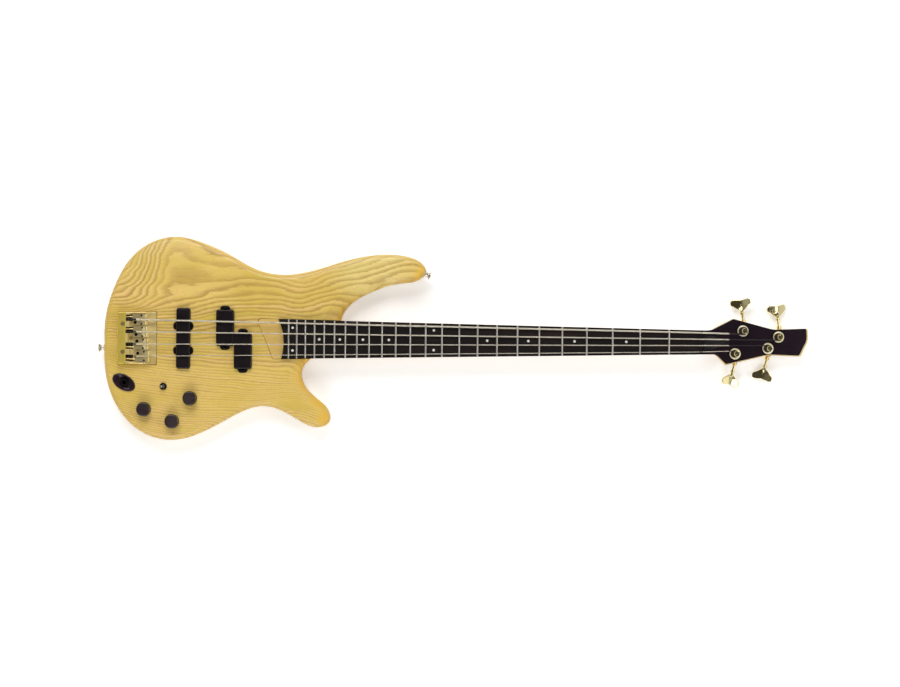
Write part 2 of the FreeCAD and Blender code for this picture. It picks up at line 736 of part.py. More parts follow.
def string_shape(index):
    radius = 0.5 * STRING_DIAMETERS[index]
    anchor = string_anchor(index)
    saddle = string_line(index, CROWN_X[index] - BEND_BEHIND)
    over_nut = string_line(index, SCALE_LENGTH + 0.5 * NUT_LENGTH)
    centre_u, centre_v = TUNER_POSTS[index]
    wrap = WAIST_RADIUS + WRAP_GAP + radius
    pitch = 2.0 * radius + TURN_GAP
    turn = 1.0 if index < 2 else -1.0
    local = over_nut - HEAD_O
    start = Vector(local.dot(HEAD_U), local.dot(HEAD_V), 0)
    centre = Vector(centre_u, centre_v, 0)
    reach = centre - start
    heading = math.atan2(reach.y, reach.x) - turn * math.asin(wrap / reach.Length)
    length = math.sqrt(reach.Length ** 2 - wrap ** 2)
    touch = start + Vector(math.cos(heading), math.sin(heading), 0) * length
    first_angle = math.atan2(touch.y - centre_v, touch.x - centre_u)
    slope = pitch / (2.0 * math.pi)

    def coil(sweep):
        angle = first_angle + turn * sweep
        return head_point(centre_u + wrap * math.cos(angle), centre_v + wrap * math.sin(angle),
                          WRAP_TOP[index] - slope * sweep)

    def coil_tangent(sweep):
        angle = first_angle + turn * sweep
        flat = HEAD_U * (-turn * math.sin(angle)) + HEAD_V * (turn * math.cos(angle))
        return unit(flat * wrap - HEAD_W * slope)

    landing = coil(0.0)
    first_start, first_arc, first_end = bend(anchor, saddle, over_nut, 10.0)
    second_start, second_arc, second_end = bend(first_end, over_nut, landing, 25.0)
    edges = [Part.makeLine(anchor, first_start), first_arc, Part.makeLine(first_end, second_start),
             second_arc, Part.makeLine(second_end, landing)]
    point = landing
    tangent = unit(landing - second_end)
    quarters = int(round(4.0 * WRAP_TURNS[index]))
    for quarter in range(1, quarters + 1):
        sweep = 0.5 * math.pi * quarter
        edges.extend(biarc(point, tangent, coil(sweep), coil_tangent(sweep)))
        point = coil(sweep)
        tangent = coil_tangent(sweep)
    solid, length = tube(edges, radius)
    turns = []
    for edge in edges[5:]:
        turns.extend(edge.discretize(9)[:-1])
    spread = 12 * 4
    gaps = [(turns[a] - turns[b]).Length for a in range(len(turns)) for b in range(a + spread, len(turns))]
    least = min(gaps) - 2.0 * radius if gaps else pitch - 2.0 * radius
    share = solid.Volume / (math.pi * radius ** 2 * length)
    print("string", STRING_NAMES[index], "length", round(length, 1), "least gap between turns",
          round(least, 3), "volume against section times length", round(share, 5))
    return solid


def ball_end(index):
    anchor = string_anchor(index)
    saddle = string_line(index, CROWN_X[index] - BEND_BEHIND)
    away = unit(anchor - saddle)
    rim = BALL_RADIUS - 0.2
    waist = BALL_RADIUS - 0.6
    profile = [(0, 0), (rim, 0), (BALL_RADIUS, 0.4), (waist, 1.2), (waist, 2.2), (BALL_RADIUS, 3.0),
               (rim, 3.4), (0, 3.4)]
    return lathe(profile, anchor, away)


def nut_slot(index):
    """Round-bottomed slot that follows a string over the nut and down to its post."""
    radius = 0.5 * STRING_DIAMETERS[index] + 0.1
    middle = string_line(index, SCALE_LENGTH + 0.5 * NUT_LENGTH)
    centre_u, centre_v = TUNER_POSTS[index]
    aside = outer_side(index) * (WAIST_RADIUS + WRAP_GAP + 0.5 * STRING_DIAMETERS[index])
    post = head_point(centre_u, centre_v - aside, WRAP_TOP[index])
    behind = middle + unit(post - middle) * (NUT_LENGTH + 1)
    mouth = STRING_Z_NUT + 6
    sections = []
    for point in (string_line(index, SCALE_LENGTH - 3), middle, behind):
        left = point - Vector(0, radius, 0)
        right = point + Vector(0, radius, 0)
        left_mouth = Vector(left.x, left.y, mouth)
        right_mouth = Vector(right.x, right.y, mouth)
        bottom = Part.Arc(left, point - UP * radius, right).toShape()
        sections.append(Part.Wire([Part.makeLine(left_mouth, left), bottom, Part.makeLine(right, right_mouth),
                                   Part.makeLine(right_mouth, left_mouth)]))
    return Part.makeLoft(sections, True, True)


def nut_shape():
    half = 0.5 * NUT_WIDTH
    solid = block(SCALE_LENGTH, SCALE_LENGTH + NUT_LENGTH, -half, half, BOARD_Z, STRING_Z_NUT + 3)
    solid = solid.common(crown(BOARD_RADIUS + STRING_LIFT_NUT + 1.3))
    for index in range(4):
        solid = solid.cut(nut_slot(index))
    return solid


# Bridge
BRIDGE_BACK = 7.5 - BRIDGE_LENGTH
BLOCK_FRONT = BRIDGE_BACK + TAIL_BLOCK_LENGTH
PLATE_TOP = TOP + BRIDGE_PLATE
BLOCK_TOP = TOP + TAIL_BLOCK_HEIGHT
SCREW_ASIDE = 4.5
SLOT_INNER = 2.2
SLOT_OUTER = 7.8
RIB_REACH = 6.0
MIDDLE_RIB_REACH = 3.4
SCREW_Z = PLATE_TOP + 2.0
SADDLE_Z = PLATE_TOP + 0.3
SADDLE_TOP = PLATE_TOP + 4.6
SADDLE_BACK = 21.0
SADDLE_FRONT = 3.2
INTONATION_RADIUS = 1.3
BALL_RADIUS = 2.6
CORNER_SCREWS = ((-44.5, 22.0), (-44.5, -22.0))
PLATE_SCREWS = ((-32.4, 0.0),)


def outer_side(index):
    return 1.0 if index < 2 else -1.0


def saddle_y(index):
    return string_line(index, CROWN_X[index]).y


def intonation_y(index):
    return saddle_y(index) + outer_side(index) * SCREW_ASIDE


def bridge_shape():
    half = 0.5 * BRIDGE_WIDTH
    front = BRIDGE_BACK + BRIDGE_LENGTH
    centre = Vector(0.5 * (BRIDGE_BACK + front), 0, 0)
    plate = prism(rectangle(BRIDGE_LENGTH, BRIDGE_WIDTH, 2.5, centre), TOP, PLATE_TOP)
    plate = soften(plate, 0.8, at_height(PLATE_TOP))
    centre = Vector(0.5 * (BRIDGE_BACK + BLOCK_FRONT), 0, 0)
    tail = prism(rectangle(TAIL_BLOCK_LENGTH, BRIDGE_WIDTH, 2.5, centre), TOP, BLOCK_TOP)
    tail = soften(tail, 1.5, at_height(BLOCK_TOP))
    pieces = [tail]
    for side in (-1, 1):
        wall = block(BLOCK_FRONT - 1, -9, half - 2.4, half, TOP + 1, PLATE_TOP + 5)
        wall = soften(wall, 1.0, lambda edge: at_height(PLATE_TOP + 5)(edge) and edge.BoundBox.XLength > 5)
        if side < 0:
            wall = wall.mirror(Vector(0, 0, 0), Vector(0, 1, 0))
        pieces.append(wall)
    slots = []
    for index in range(4):
        inner = saddle_y(index) - outer_side(index) * SLOT_INNER
        outer = saddle_y(index) + outer_side(index) * SLOT_OUTER
        slots.append((min(inner, outer), max(inner, outer)))
    slots.sort()
    edges = [-half + 1.0]
    for low, high in slots:
        edges.extend((low, high))
    edges.append(half - 1.0)
    for low, high in zip(edges[0::2], edges[1::2]):
        reach = MIDDLE_RIB_REACH if low < 0.0 < high else RIB_REACH
        pieces.append(block(BLOCK_FRONT - 1, BLOCK_FRONT + reach, low, high, TOP + 1, BLOCK_TOP - 1.5))
    solid = plate.fuse(pieces)
    cutters = []
    for index in range(4):
        anchor = string_anchor(index)
        saddle = string_line(index, CROWN_X[index] - BEND_BEHIND)
        along = unit(saddle - anchor)
        radius = 0.5 * STRING_DIAMETERS[index] + 0.5
        cutters.append(rod(anchor - along * 1, anchor + along * 22, radius))
        cutters.append(rod(anchor - along * 12, anchor, BALL_RADIUS + 0.3))
        y = intonation_y(index)
        cutters.append(rod(Vector(BRIDGE_BACK - 1, y, SCREW_Z), Vector(BLOCK_FRONT + 1, y, SCREW_Z),
                           INTONATION_RADIUS + 0.06))
        cutters.append(rod(Vector(BRIDGE_BACK - 1, y, SCREW_Z), Vector(BRIDGE_BACK + 3, y, SCREW_Z), 2.4))
    for x, y in CORNER_SCREWS:
        cutters.append(sink_cutter(Vector(x, y, BLOCK_TOP), UP, 3.6, 2.0, 30))
    for x, y in PLATE_SCREWS:
        cutters.append(sink_cutter(Vector(x, y, PLATE_TOP), UP, 3.4, 1.8, 30))
    return solid.cut(cutters).removeSplitter()


def bridge_screws():
    screws = []
    for x, y in CORNER_SCREWS:
        screws.append(flat_screw(Vector(x, y, BLOCK_TOP), UP, 3.6, 2.0, TAIL_BLOCK_HEIGHT + 18))
    for x, y in PLATE_SCREWS:
        screws.append(flat_screw(Vector(x, y, PLATE_TOP), UP, 3.4, 1.8, BRIDGE_PLATE + 18))
    return screws


def grub_screw(x, y, high, radius, key):
    low = PLATE_TOP + 0.05
    solid = rod(Vector(x, y, low), Vector(x, y, high), radius)
    return solid.cut(hex_prism(key, high - 1.6, high + 1, Vector(x, y, 0)))


def saddle_shapes(index):
    x = CROWN_X[index]
    y = saddle_y(index)
    side = outer_side(index)
    line = string_line(index, x)
    crest = line.z - 0.5 * STRING_DIAMETERS[index] - 0.2
    half = 0.5 * SADDLE_WIDTH
    ramp = max(crest - 1.0, SADDLE_TOP + 0.3)
    points = [Vector(x - SADDLE_BACK, 0, SADDLE_Z), Vector(x - SADDLE_BACK, 0, SADDLE_TOP - 0.6),
              Vector(x - SADDLE_BACK + 0.6, 0, SADDLE_TOP), Vector(x - 7.0, 0, SADDLE_TOP),
              Vector(x - 2.0, 0, ramp), Vector(x + 1.6, 0, ramp), Vector(x + SADDLE_FRONT, 0, SADDLE_Z)]
    edges = []
    for first, second in zip(points[:4], points[1:5]):
        edges.append(Part.makeLine(first, second))
    edges.append(Part.Arc(points[4], Vector(x, 0, crest + 0.9), points[5]).toShape())
    edges.append(Part.makeLine(points[5], points[6]))
    edges.append(Part.makeLine(points[6], points[0]))
    face = Part.Face(Part.Wire(edges))
    face.translate(Vector(0, y - half, 0))
    solid = face.extrude(Vector(0, SADDLE_WIDTH, 0))
    radius = 0.5 * STRING_DIAMETERS[index] + 0.2
    slope = string_line(index, x + 1) - line
    groove = rod(line - slope * (BEND_BEHIND + 4), line + slope * 9, radius)
    trench = block(x - BEND_BEHIND - 4, x + 9, y - radius, y + radius, line.z, line.z + 9)
    deep = y + side * SCREW_ASIDE
    bore_start = Vector(x - SADDLE_BACK - 1, deep, SCREW_Z)
    bore_end = Vector(x - 9.2, deep, SCREW_Z)
    cutters = [groove.fuse(trench), rod(bore_start, bore_end, INTONATION_RADIUS + 0.08)]
    screws = []
    for across in (-1, 1):
        spot = Vector(x - 6.8, y + across * 6.8, 0)
        cutters.append(rod(spot, spot + UP * 100, 1.5))
        screws.append(grub_screw(spot.x, spot.y, SADDLE_TOP + 0.2, 1.5, 0.85))
    lock = Vector(x - 16.6, y - side * 4.4, 0)
    cutters.append(rod(lock, lock + UP * 100, 2.1))
    screws.append(grub_screw(lock.x, lock.y, SADDLE_TOP - 0.6, 2.1, 1.25))
    return [solid.cut(cutters).Solids[0]] + screws


def intonation_screw(index):
    y = intonation_y(index)
    head = Vector(BRIDGE_BACK + 3.0, y, SCREW_Z)
    tip = Vector(CROWN_X[index] - SADDLE_BACK + 7.5, y, SCREW_Z)
    solid = rod(head, tip, INTONATION_RADIUS).fuse(rod(head - Vector(2.4, 0, 0), head, 2.1))
    slot = block(head.x - 3, head.x - 1.4, y - 2.3, y + 2.3, SCREW_Z - 0.4, SCREW_Z + 0.4)
    return solid.cut(slot)


# Pickups
LONG_PLACE = on_plan(49.8, 0.0)
SPLIT_BASS = on_plan(115.6, 17.0)
SPLIT_TREBLE = Vector(SPLIT_BASS.x + SPLIT_PICKUP_WIDTH + SPLIT_GAP, on_plan(0.0, -19.0).y, 0)
EAR_TOP = TOP + 1.6
EAR_LOW = TOP - 2.4
PICKUP_TOP = TOP + PICKUP_PROUD
PICKUP_LOW = TOP - 11.0
SHELL = 1.4
EAR_SIDE = 19.3
LONG_EAR = (31.0, 12.8)
SPLIT_EAR = (15.0, 6.2)
ROUTE_GAP = 0.6


def long_wires(grow):
    centre = LONG_PLACE
    main = rectangle(LONG_PICKUP_WIDTH + 2 * grow, LONG_PICKUP_LENGTH + 2 * grow, 4.0 + grow, centre)
    ears = []
    for side in (-1, 1):
        spot = centre + Vector(0, side * EAR_SIDE, 0)
        ears.append(rectangle(LONG_EAR[0] + 2 * grow, LONG_EAR[1] + 2 * grow, 5.6 + grow, spot))
    return main, ears


def split_wires(centre, grow):
    main = rectangle(SPLIT_PICKUP_WIDTH + 2 * grow, SPLIT_PICKUP_LENGTH + 2 * grow, 3.5 + grow, centre)
    length = SPLIT_PICKUP_LENGTH + 2.0 * SPLIT_EAR[1]
    ears = [rectangle(SPLIT_EAR[0] + 2 * grow, length + 2 * grow, 5.0 + grow, centre)]
    return main, ears


def long_screw_places():
    reach = 0.5 * LONG_EAR[0] - 2.9
    return [LONG_PLACE + Vector(a * reach, b * EAR_SIDE, 0) for a in (-1, 1) for b in (-1, 1)]


def split_screw_places(centre):
    reach = 0.5 * SPLIT_PICKUP_LENGTH + 2.7
    return [centre + Vector(0, side * reach, 0) for side in (-1, 1)]


def pickup_cover(wires, screws, inside):
    main, ears = wires
    shell = prism(main, PICKUP_LOW, PICKUP_TOP)
    shell = soften(shell, 1.8, at_height(PICKUP_TOP))
    tabs = [soften(prism(ear, EAR_LOW, EAR_TOP), 0.8, at_height(EAR_TOP)) for ear in ears]
    shell = shell.fuse(tabs)
    cutters = [prism(inside, PICKUP_LOW - 1, PICKUP_TOP - 1.8)]
    for spot in screws:
        cutters.append(rod(spot + UP * (EAR_LOW - 1), spot + UP * (EAR_TOP + 5), 1.6))
        cutters.append(rod(spot + UP * EAR_TOP, spot + UP * (EAR_TOP + 2), 2.7))
    return shell.cut(cutters).removeSplitter()


def pickup_inside(centre, width, length, per_string):
    """Base, wound coil and magnet rods under one cover."""
    core = 6.4
    high = PICKUP_TOP - 2.6
    low = PICKUP_LOW + 2
    base = prism(rectangle(width - 2 * SHELL - 0.1, length - 2 * SHELL - 0.1, 2.5, centre), PICKUP_LOW, low)
    long_side = length - 2 * SHELL - 5
    outer = rectangle(min(width - 2 * SHELL - 3, 15.0), long_side, 6.0, centre)
    inner = rectangle(core, long_side - 9, 3.0, centre)
    coil = prism(outer, low, high - 1.2).cut(prism(inner, low - 1, high))
    magnets = []
    for offset in per_string:
        spot = centre + Vector(0, offset, 0)
        magnets.append(rod(spot + UP * low, spot + UP * high, 2.4))
    return [base, coil] + magnets


def pole_offsets(centre, strings):
    offsets = []
    for index in strings:
        y = string_line(index, centre.x).y - centre.y
        offsets.extend((y - 4.3, y + 4.3))
    return offsets


def pickup_foam(centre, width, length):
    return prism(rectangle(0.55 * width, 0.7 * length, 2, centre), ROUTE_Z, PICKUP_LOW)


def pickup_screw(spot):
    return pan_screw(spot + UP * EAR_TOP, UP, 2.5, 1.7, 1.4, EAR_TOP - ROUTE_Z + 9)


# Controls
POT_RADIUS = 8.3
POT_HEIGHT = 9.0
SHAFT_RADIUS = 3.0
BUSHING_RADIUS = 3.4
KNOB_LOW = TOP + 1.4


def pot_body(place):
    low = CAVITY_TOP - POT_HEIGHT
    profile = [(0, low), (POT_RADIUS - 0.6, low), (POT_RADIUS, low + 0.6), (POT_RADIUS, CAVITY_TOP),
               (BUSHING_RADIUS, CAVITY_TOP), (BUSHING_RADIUS, TOP + 3.2), (SHAFT_RADIUS + 0.07, TOP + 3.2),
               (SHAFT_RADIUS + 0.07, low + 2), (0, low + 2)]
    solid = lathe(profile, place)
    lugs = []
    for shift in (-4.5, 0, 4.5):
        lugs.append(block(place.x + shift - 1, place.x + shift + 1, place.y + POT_RADIUS - 2,
                          place.y + POT_RADIUS + 3.5, low + 3, low + 4))
    return solid.fuse(lugs).cut(rod(place + UP * (low + 2), place + UP * TOP, SHAFT_RADIUS + 0.07))


def pot_hardware(place):
    bore = BUSHING_RADIUS + 0.1
    top = TOP + 0.7
    washer = lathe([(bore, TOP), (7.0, TOP), (7.0, top), (bore, top)], place)
    nut = hex_prism(5.9, top, TOP + 2.7, place)
    nut = nut.cut(rod(place, place + UP * 100, BUSHING_RADIUS))
    return washer, nut


def pot_shaft(place):
    low = CAVITY_TOP - POT_HEIGHT + 2.3
    high = KNOB_LOW + KNOB_HEIGHT - 3.5
    tip = SHAFT_RADIUS - 0.5
    return lathe([(0, low), (SHAFT_RADIUS, low), (SHAFT_RADIUS, high - 0.5), (tip, high), (0, high)], place)


def knob(place):
    outer = 0.5 * KNOB_DIAMETER
    high = KNOB_LOW + KNOB_HEIGHT
    profile = [(SHAFT_RADIUS, KNOB_LOW + 3), (8.2, KNOB_LOW + 3), (8.2, KNOB_LOW), (outer - 0.4, KNOB_LOW),
               (outer, KNOB_LOW + 0.5), (outer, KNOB_LOW + 2.2), (outer - 0.5, KNOB_LOW + 2.8),
               (outer - 0.9, high - 1.6), (outer - 1.3, high - 0.6), (outer - 2.4, high), (0, high),
               (0, high - 3.5), (SHAFT_RADIUS, high - 3.5)]
    return lathe(profile, place)


SWITCH_PIVOT = TOP + 1.2
SWITCH_TILT = 13.0
SWITCH_PIN_RADIUS = 0.6
SWITCH_PIN_HALF = 2.8


def switch_pin(radius, half):
    """Cross pin that the lever rocks on, along Y through the middle of its ball."""
    pivot = SWITCH_PLACE + UP * SWITCH_PIVOT
    return rod(pivot - Vector(0, half, 0), pivot + Vector(0, half, 0), radius)


def switch_body():
    place = SWITCH_PLACE
    low = CAVITY_TOP - 10
    box = block(place.x - 6.5, place.x + 6.5, place.y - 3.6, place.y + 3.6, low, CAVITY_TOP)
    box = box.fuse(rod(place + UP * CAVITY_TOP, place + UP * (TOP + 3.4), 3.0))
    lugs = []
    for shift in (-4.5, 0, 4.5):
        middle = place.x + shift
        lugs.append(block(middle - 0.6, middle + 0.6, place.y - 1, place.y + 1, low - 4, low))
    well = rod(place + UP * (TOP - 5), place + UP * (TOP + 9), 2.15)
    return box.fuse(lugs).cut([well, switch_pin(SWITCH_PIN_RADIUS + 0.1, 5.0)])


def switch_ring():
    top = TOP + 2.3
    return lathe([(3.02, TOP), (5.6, TOP), (5.6, top - 0.7), (4.9, top), (3.02, top)], SWITCH_PLACE)


def switch_lever():
    profile = [(0, -3.4), (0.8, -3.4), (0.9, -1.4), (1.85, -0.5), (1.85, 0.5), (1.1, 1.6), (1.15, 3.0),
               (1.6, 9.0), (1.5, 10.2), (0.9, 11.0), (0, 11.2)]
    pivot = SWITCH_PLACE + UP * SWITCH_PIVOT
    solid = lathe(profile, pivot)
    solid.rotate(pivot, Vector(0, 1, 0), -SWITCH_TILT)
    return solid.fuse(switch_pin(SWITCH_PIN_RADIUS, SWITCH_PIN_HALF))


JACK_FLOOR = TOP - 7.0
CUP_LONG = 19.6
CUP_SHORT = 12.0


def jack_cup():
    place = JACK_PLACE
    flange = prism(ellipse(CUP_LONG, CUP_SHORT, place, JACK_TURN), TOP, TOP + 1.6)
    flange = soften(flange, 1.0, at_height(TOP + 1.6))
    well = prism(ellipse(CUP_LONG - 1.6, CUP_SHORT - 1.4, place, JACK_TURN), JACK_FLOOR - 2, TOP)
    mouth = ellipse(CUP_LONG - 2.0, CUP_SHORT - 1.9, place + UP * (TOP + 1.61), JACK_TURN)
    foot = ellipse(CUP_LONG - 8.0, CUP_SHORT - 3.7, place + UP * JACK_FLOOR, JACK_TURN)
    dish = Part.makeLoft([mouth, foot], True, True)
    solid = flange.fuse(well).cut(dish)
    return solid.cut(rod(place, place + UP * 100, 4.8))


def jack_socket():
    place = JACK_PLACE
    bore = 0.5 * JACK_BORE
    low = JACK_FLOOR - 9
    seat = JACK_FLOOR - 2
    profile = [(bore, low), (4.4, low), (4.4, seat - 1.6), (8.0, seat - 1.6), (8.0, seat), (4.7, seat),
               (4.7, JACK_FLOOR + 3.2), (bore + 0.5, JACK_FLOOR + 3.2), (bore, JACK_FLOOR + 2.7)]
    solid = lathe(profile, place)
    arm = block(place.x + 5.8, place.x + 6.8, place.y - 2.5, place.y + 2.5, seat - 21, seat - 1)
    foot = block(place.x + 3.7, place.x + 6.8, place.y - 2.5, place.y + 2.5, seat - 21, seat - 20)
    return solid.fuse([arm, foot])


def jack_nut():
    nut = hex_prism(7.2, JACK_FLOOR, JACK_FLOOR + 2.2, JACK_PLACE)
    return nut.cut(rod(JACK_PLACE, JACK_PLACE + UP * 100, 4.72))


def cavity_cover():
    plate = prism(cavity_wire().makeOffset2D(LEDGE - 0.25), 0, COVER_THICKNESS)
    for spot in cover_screw_places():
        plate = plate.cut(sink_cutter(spot, UP * -1, 2.2, 1.3, 4))
    return plate


# Strap buttons: seat, direction out of the wood
HORN_TURN = math.radians(-22.0)
BUTTON_Z = 0.5 * TOP
BUTTONS = ((HORN_SEAT + UP * BUTTON_Z, Vector(math.cos(HORN_TURN), math.sin(HORN_TURN), 0)),
           (TAIL_SEAT + UP * BUTTON_Z, Vector(-1, 0, 0)))
FELT = 1.5
BUTTON_HEIGHT = 10.0


def strap_button(seat, axis):
    profile = [(2.1, 0), (5.0, 0), (5.2, 0.8), (4.2, 2.0), (3.9, 4.6), (4.6, 6.6), (6.6, 8.0), (6.9, 8.8),
               (6.2, BUTTON_HEIGHT), (4.0, BUTTON_HEIGHT), (2.1, BUTTON_HEIGHT - 1.9)]
    return lathe(profile, seat + axis * FELT, axis)


def strap_felt(seat, axis):
    return lathe([(2.3, 0), (6.4, 0), (6.4, FELT), (2.3, FELT)], seat, axis)


def strap_screw(seat, axis):
    return flat_screw(seat + axis * (FELT + BUTTON_HEIGHT), axis, 4.0, 2.1, FELT + BUTTON_HEIGHT + 24)


# Tuning machines, built in a frame p (out along the key), q (to the worm), w (out of the face)
TAB_SCREW = (-9.8, 0.0)
CENTRES = WHEEL_PITCH_RADIUS + WORM_PITCH_RADIUS + 0.1
WORM_W = -HEAD_THICKNESS - 6.2
WHEEL_HALF = 1.8
LEAD = 2.0 * math.pi * WHEEL_PITCH_RADIUS / WHEEL_TEETH
BACKLASH = 0.24
HOUSING_LOW = -HEAD_THICKNESS - 11.4
WALL = 1.2


def tuner_frame(index):
    lean = math.radians(TUNER_LEANS[index])
    side = outer_side(index)
    out = HEAD_U * -math.sin(lean) + HEAD_V * (side * math.cos(lean))
    return unit(out), HEAD_W.cross(unit(out))


def tuner_place(shape, index):
    out, across = tuner_frame(index)
    u, v = TUNER_POSTS[index]
    built = shape.copy() if index >= 2 else shape.mirror(Vector(0, 0, 0), Vector(0, 1, 0))
    return in_frame(built, head_point(u, v, 0), out, across, HEAD_W)


def tuner_point(index, p, q, w):
    out, across = tuner_frame(index)
    u, v = TUNER_POSTS[index]
    hand = 1.0 if index >= 2 else -1.0
    return head_point(u, v, 0) + out * p + across * (hand * q) + HEAD_W * w


def worm_wheel():
    """Wheel with slanted teeth, one gap turned to the worm."""
    pitch_angle = 2.0 * math.pi / WHEEL_TEETH
    tip = WHEEL_PITCH_RADIUS + 0.42
    root = WHEEL_PITCH_RADIUS - 0.7
    thick = 0.5 * LEAD - BACKLASH
    slant = math.tan(math.radians(20.0))
    lead_slope = LEAD / (2.0 * math.pi * WORM_PITCH_RADIUS)

    def ring(level):
        turn = lead_slope * level / WHEEL_PITCH_RADIUS
        points = []
        for tooth in range(WHEEL_TEETH):
            middle = 0.5 * math.pi + pitch_angle * (tooth + 0.5) + turn
            for radius, sign in ((root, -1), (tip, -1), (tip, 1), (root, 1)):
                half = 0.5 * thick - (radius - WHEEL_PITCH_RADIUS) * slant
                angle = middle + sign * half / radius
                points.append(Vector(radius * math.cos(angle), radius * math.sin(angle), WORM_W + level))
        return Part.makePolygon(points + points[:1])

    wheel = Part.makeLoft([ring(-WHEEL_HALF), ring(WHEEL_HALF)], True, True)
    return wheel.cut(rod(Vector(0, 0, WORM_W - 5), Vector(0, 0, WORM_W + 5), 2.6))


def worm_shaft():
    """Shaft along p with one start of round thread in mesh with the wheel."""
    wire = 0.5 * (0.5 * LEAD - BACKLASH) + 0.16
    root = WORM_PITCH_RADIUS - wire + 0.1
    turns = 5
    start = -0.5 * turns * LEAD
    slope = LEAD / (2.0 * math.pi)

    def thread_point(angle):
        flat = Vector(math.cos(angle), math.sin(angle), 0) * WORM_PITCH_RADIUS
        return flat + UP * (start + slope * angle)

    def thread_tangent(angle):
        flat = Vector(-math.sin(angle), math.cos(angle), 0) * WORM_PITCH_RADIUS
        return unit(flat + UP * slope)

    edges = []
    for quarter in range(4 * turns):
        first = 0.5 * math.pi * quarter
        last = first + 0.5 * math.pi
        edges.extend(biarc(thread_point(first), thread_tangent(first),
                           thread_point(last), thread_tangent(last)))
    thread, length = tube(edges, wire)
    print("worm thread length", round(length, 2), "least gap between turns", round(LEAD - 2.0 * wire, 3),
          "volume against section times length", round(thread.Volume / (math.pi * wire ** 2 * length), 5))
    core = lathe([(0, -8.0), (1.2, -8.0), (1.2, start - 0.9), (root, start - 0.9), (root, -start + 0.9),
                  (2.2, -start + 0.9), (2.2, 31), (1.7, 31.5), (0, 31.5)])
    shaft = core.fuse(thread)
    shaft.rotate(Vector(0, 0, 0), UP, 90.0)
    lying = Placement(Vector(0, CENTRES, WORM_W), Rotation(Vector(0, 1, 0), 90))
    shaft.Placement = lying.multiply(shaft.Placement)
    return shaft


def tuner_post():
    low = HOUSING_LOW + 0.25
    profile = [(0, low), (2.2, low), (2.2, WORM_W - WHEEL_HALF - 0.4), (2.6, WORM_W - WHEEL_HALF - 0.4),
               (2.6, WORM_W + WHEEL_HALF), (POST_RADIUS, WORM_W + WHEEL_HALF), (POST_RADIUS, 2.9),
               (WAIST_RADIUS, 3.4), (WAIST_RADIUS, 12.4), (4.5, 13.2), (4.5, 16.2), (3.9, 16.8), (0, 16.8)]
    solid = lathe(profile)
    slot = block(-6, 6, -1.2, 1.2, 11.0, 20)
    slot.rotate(Vector(0, 0, 0), UP, 35)
    return solid.cut(slot.fuse(rod(Vector(0, 0, 5), Vector(0, 0, 20), 1.35)))


def tuner_bushing():
    profile = [(POST_RADIUS + 0.07, -9), (6.9, -9), (6.9, 0), (8.75, 0), (8.75, 1.3), (8.0, 2.2), (6.2, 2.6),
               (POST_RADIUS + 0.07, 2.6)]
    return lathe(profile)


def tuner_housing():
    high = -HEAD_THICKNESS
    p_low = -7.4
    p_high = 11.0
    q_low = -7.4
    q_high = CENTRES + 4.0
    centre = Vector(0.5 * (p_low + p_high), 0.5 * (q_low + q_high), 0)
    outer = prism(rectangle(p_high - p_low, q_high - q_low, 3.0, centre), HOUSING_LOW, high)
    outer = soften(outer, 1.5, at_height(HOUSING_LOW))
    room = rectangle(p_high - p_low - 2 * WALL, q_high - q_low - 2 * WALL, 2.0, centre)
    inner = prism(room, HOUSING_LOW + WALL, high - WALL)
    tab = prism(rectangle(9.0, 6.4, 3.0, Vector(-8.6, 0, 0)), high - 1.6, high)
    neck = Part.makeCylinder(3.6, 6, Vector(p_high - 0.5, CENTRES, WORM_W), Vector(1, 0, 0))
    solid = outer.fuse([tab, neck]).cut(inner)
    cutters = [rod(Vector(0, 0, HOUSING_LOW - 1), Vector(0, 0, HOUSING_LOW + 3), 2.26),
               rod(Vector(0, 0, high - 3), Vector(0, 0, high + 1), POST_RADIUS + 0.3),
               rod(Vector(5, CENTRES, WORM_W), Vector(30, CENTRES, WORM_W), 2.26),
               rod(Vector(-8.4, CENTRES, WORM_W), Vector(0, CENTRES, WORM_W), 1.26),
               rod(Vector(*TAB_SCREW, high - 5), Vector(*TAB_SCREW, high + 1), 1.25)]
    return solid.cut(cutters)


def tuner_screw():
    seat = Vector(TAB_SCREW[0], TAB_SCREW[1], -HEAD_THICKNESS - 1.6)
    return pan_screw(seat, UP * -1, 2.1, 1.4, 1.1, 9.2)


def tuner_key():
    """Fan-shaped blade with two lobes, a middle rib and a collar on the shaft."""
    half = 0.5 * KEY_SPAN
    foot = 29.5
    side = ((foot, 2.4, 0), (foot + 2.2, 2.9, 6.0), (KEY_REACH - 8.8, half, 3.6),
            (KEY_REACH + 0.2, half - 1.0, 4.2))
    other = tuple((x, -y, radius) for x, y, radius in reversed(side))
    wire = rounded_wire(side + ((KEY_REACH - 2.2, 0.0, 14.0),) + other)
    blade = prism(wire, -1.5, 1.5)
    blade = blade.makeFillet(1.1, [edge for edge in blade.Edges if edge.BoundBox.ZLength < 1e-3
                                   and edge.BoundBox.XLength > 0.5])
    along = Vector(1, 0, 0)
    rib = lathe([(0, 25.5), (2.9, 25.5), (3.6, 26.2), (3.6, 28.6), (2.6, 29.6), (2.7, 34), (1.8, 42),
                 (0.9, KEY_REACH - 3.4), (0, KEY_REACH - 3.2)], Vector(0, 0, 0), along)
    socket = lathe([(0, 20), (2.2, 20), (2.2, 31), (1.7, 31.5), (0, 31.5)], Vector(0, 0, 0), along)
    return blade.fuse(rib).cut(socket)


def turned_key(index):
    key = tuner_key()
    key.rotate(Vector(0, 0, 0), Vector(1, 0, 0), TUNER_REST[index])
    key.translate(Vector(0, CENTRES, WORM_W))
    return key


def neck_bolt(x, y):
    return pan_screw(Vector(x, y, 3.2), UP * -1, 4.3, 2.2, 2.5, POCKET_Z + 9)


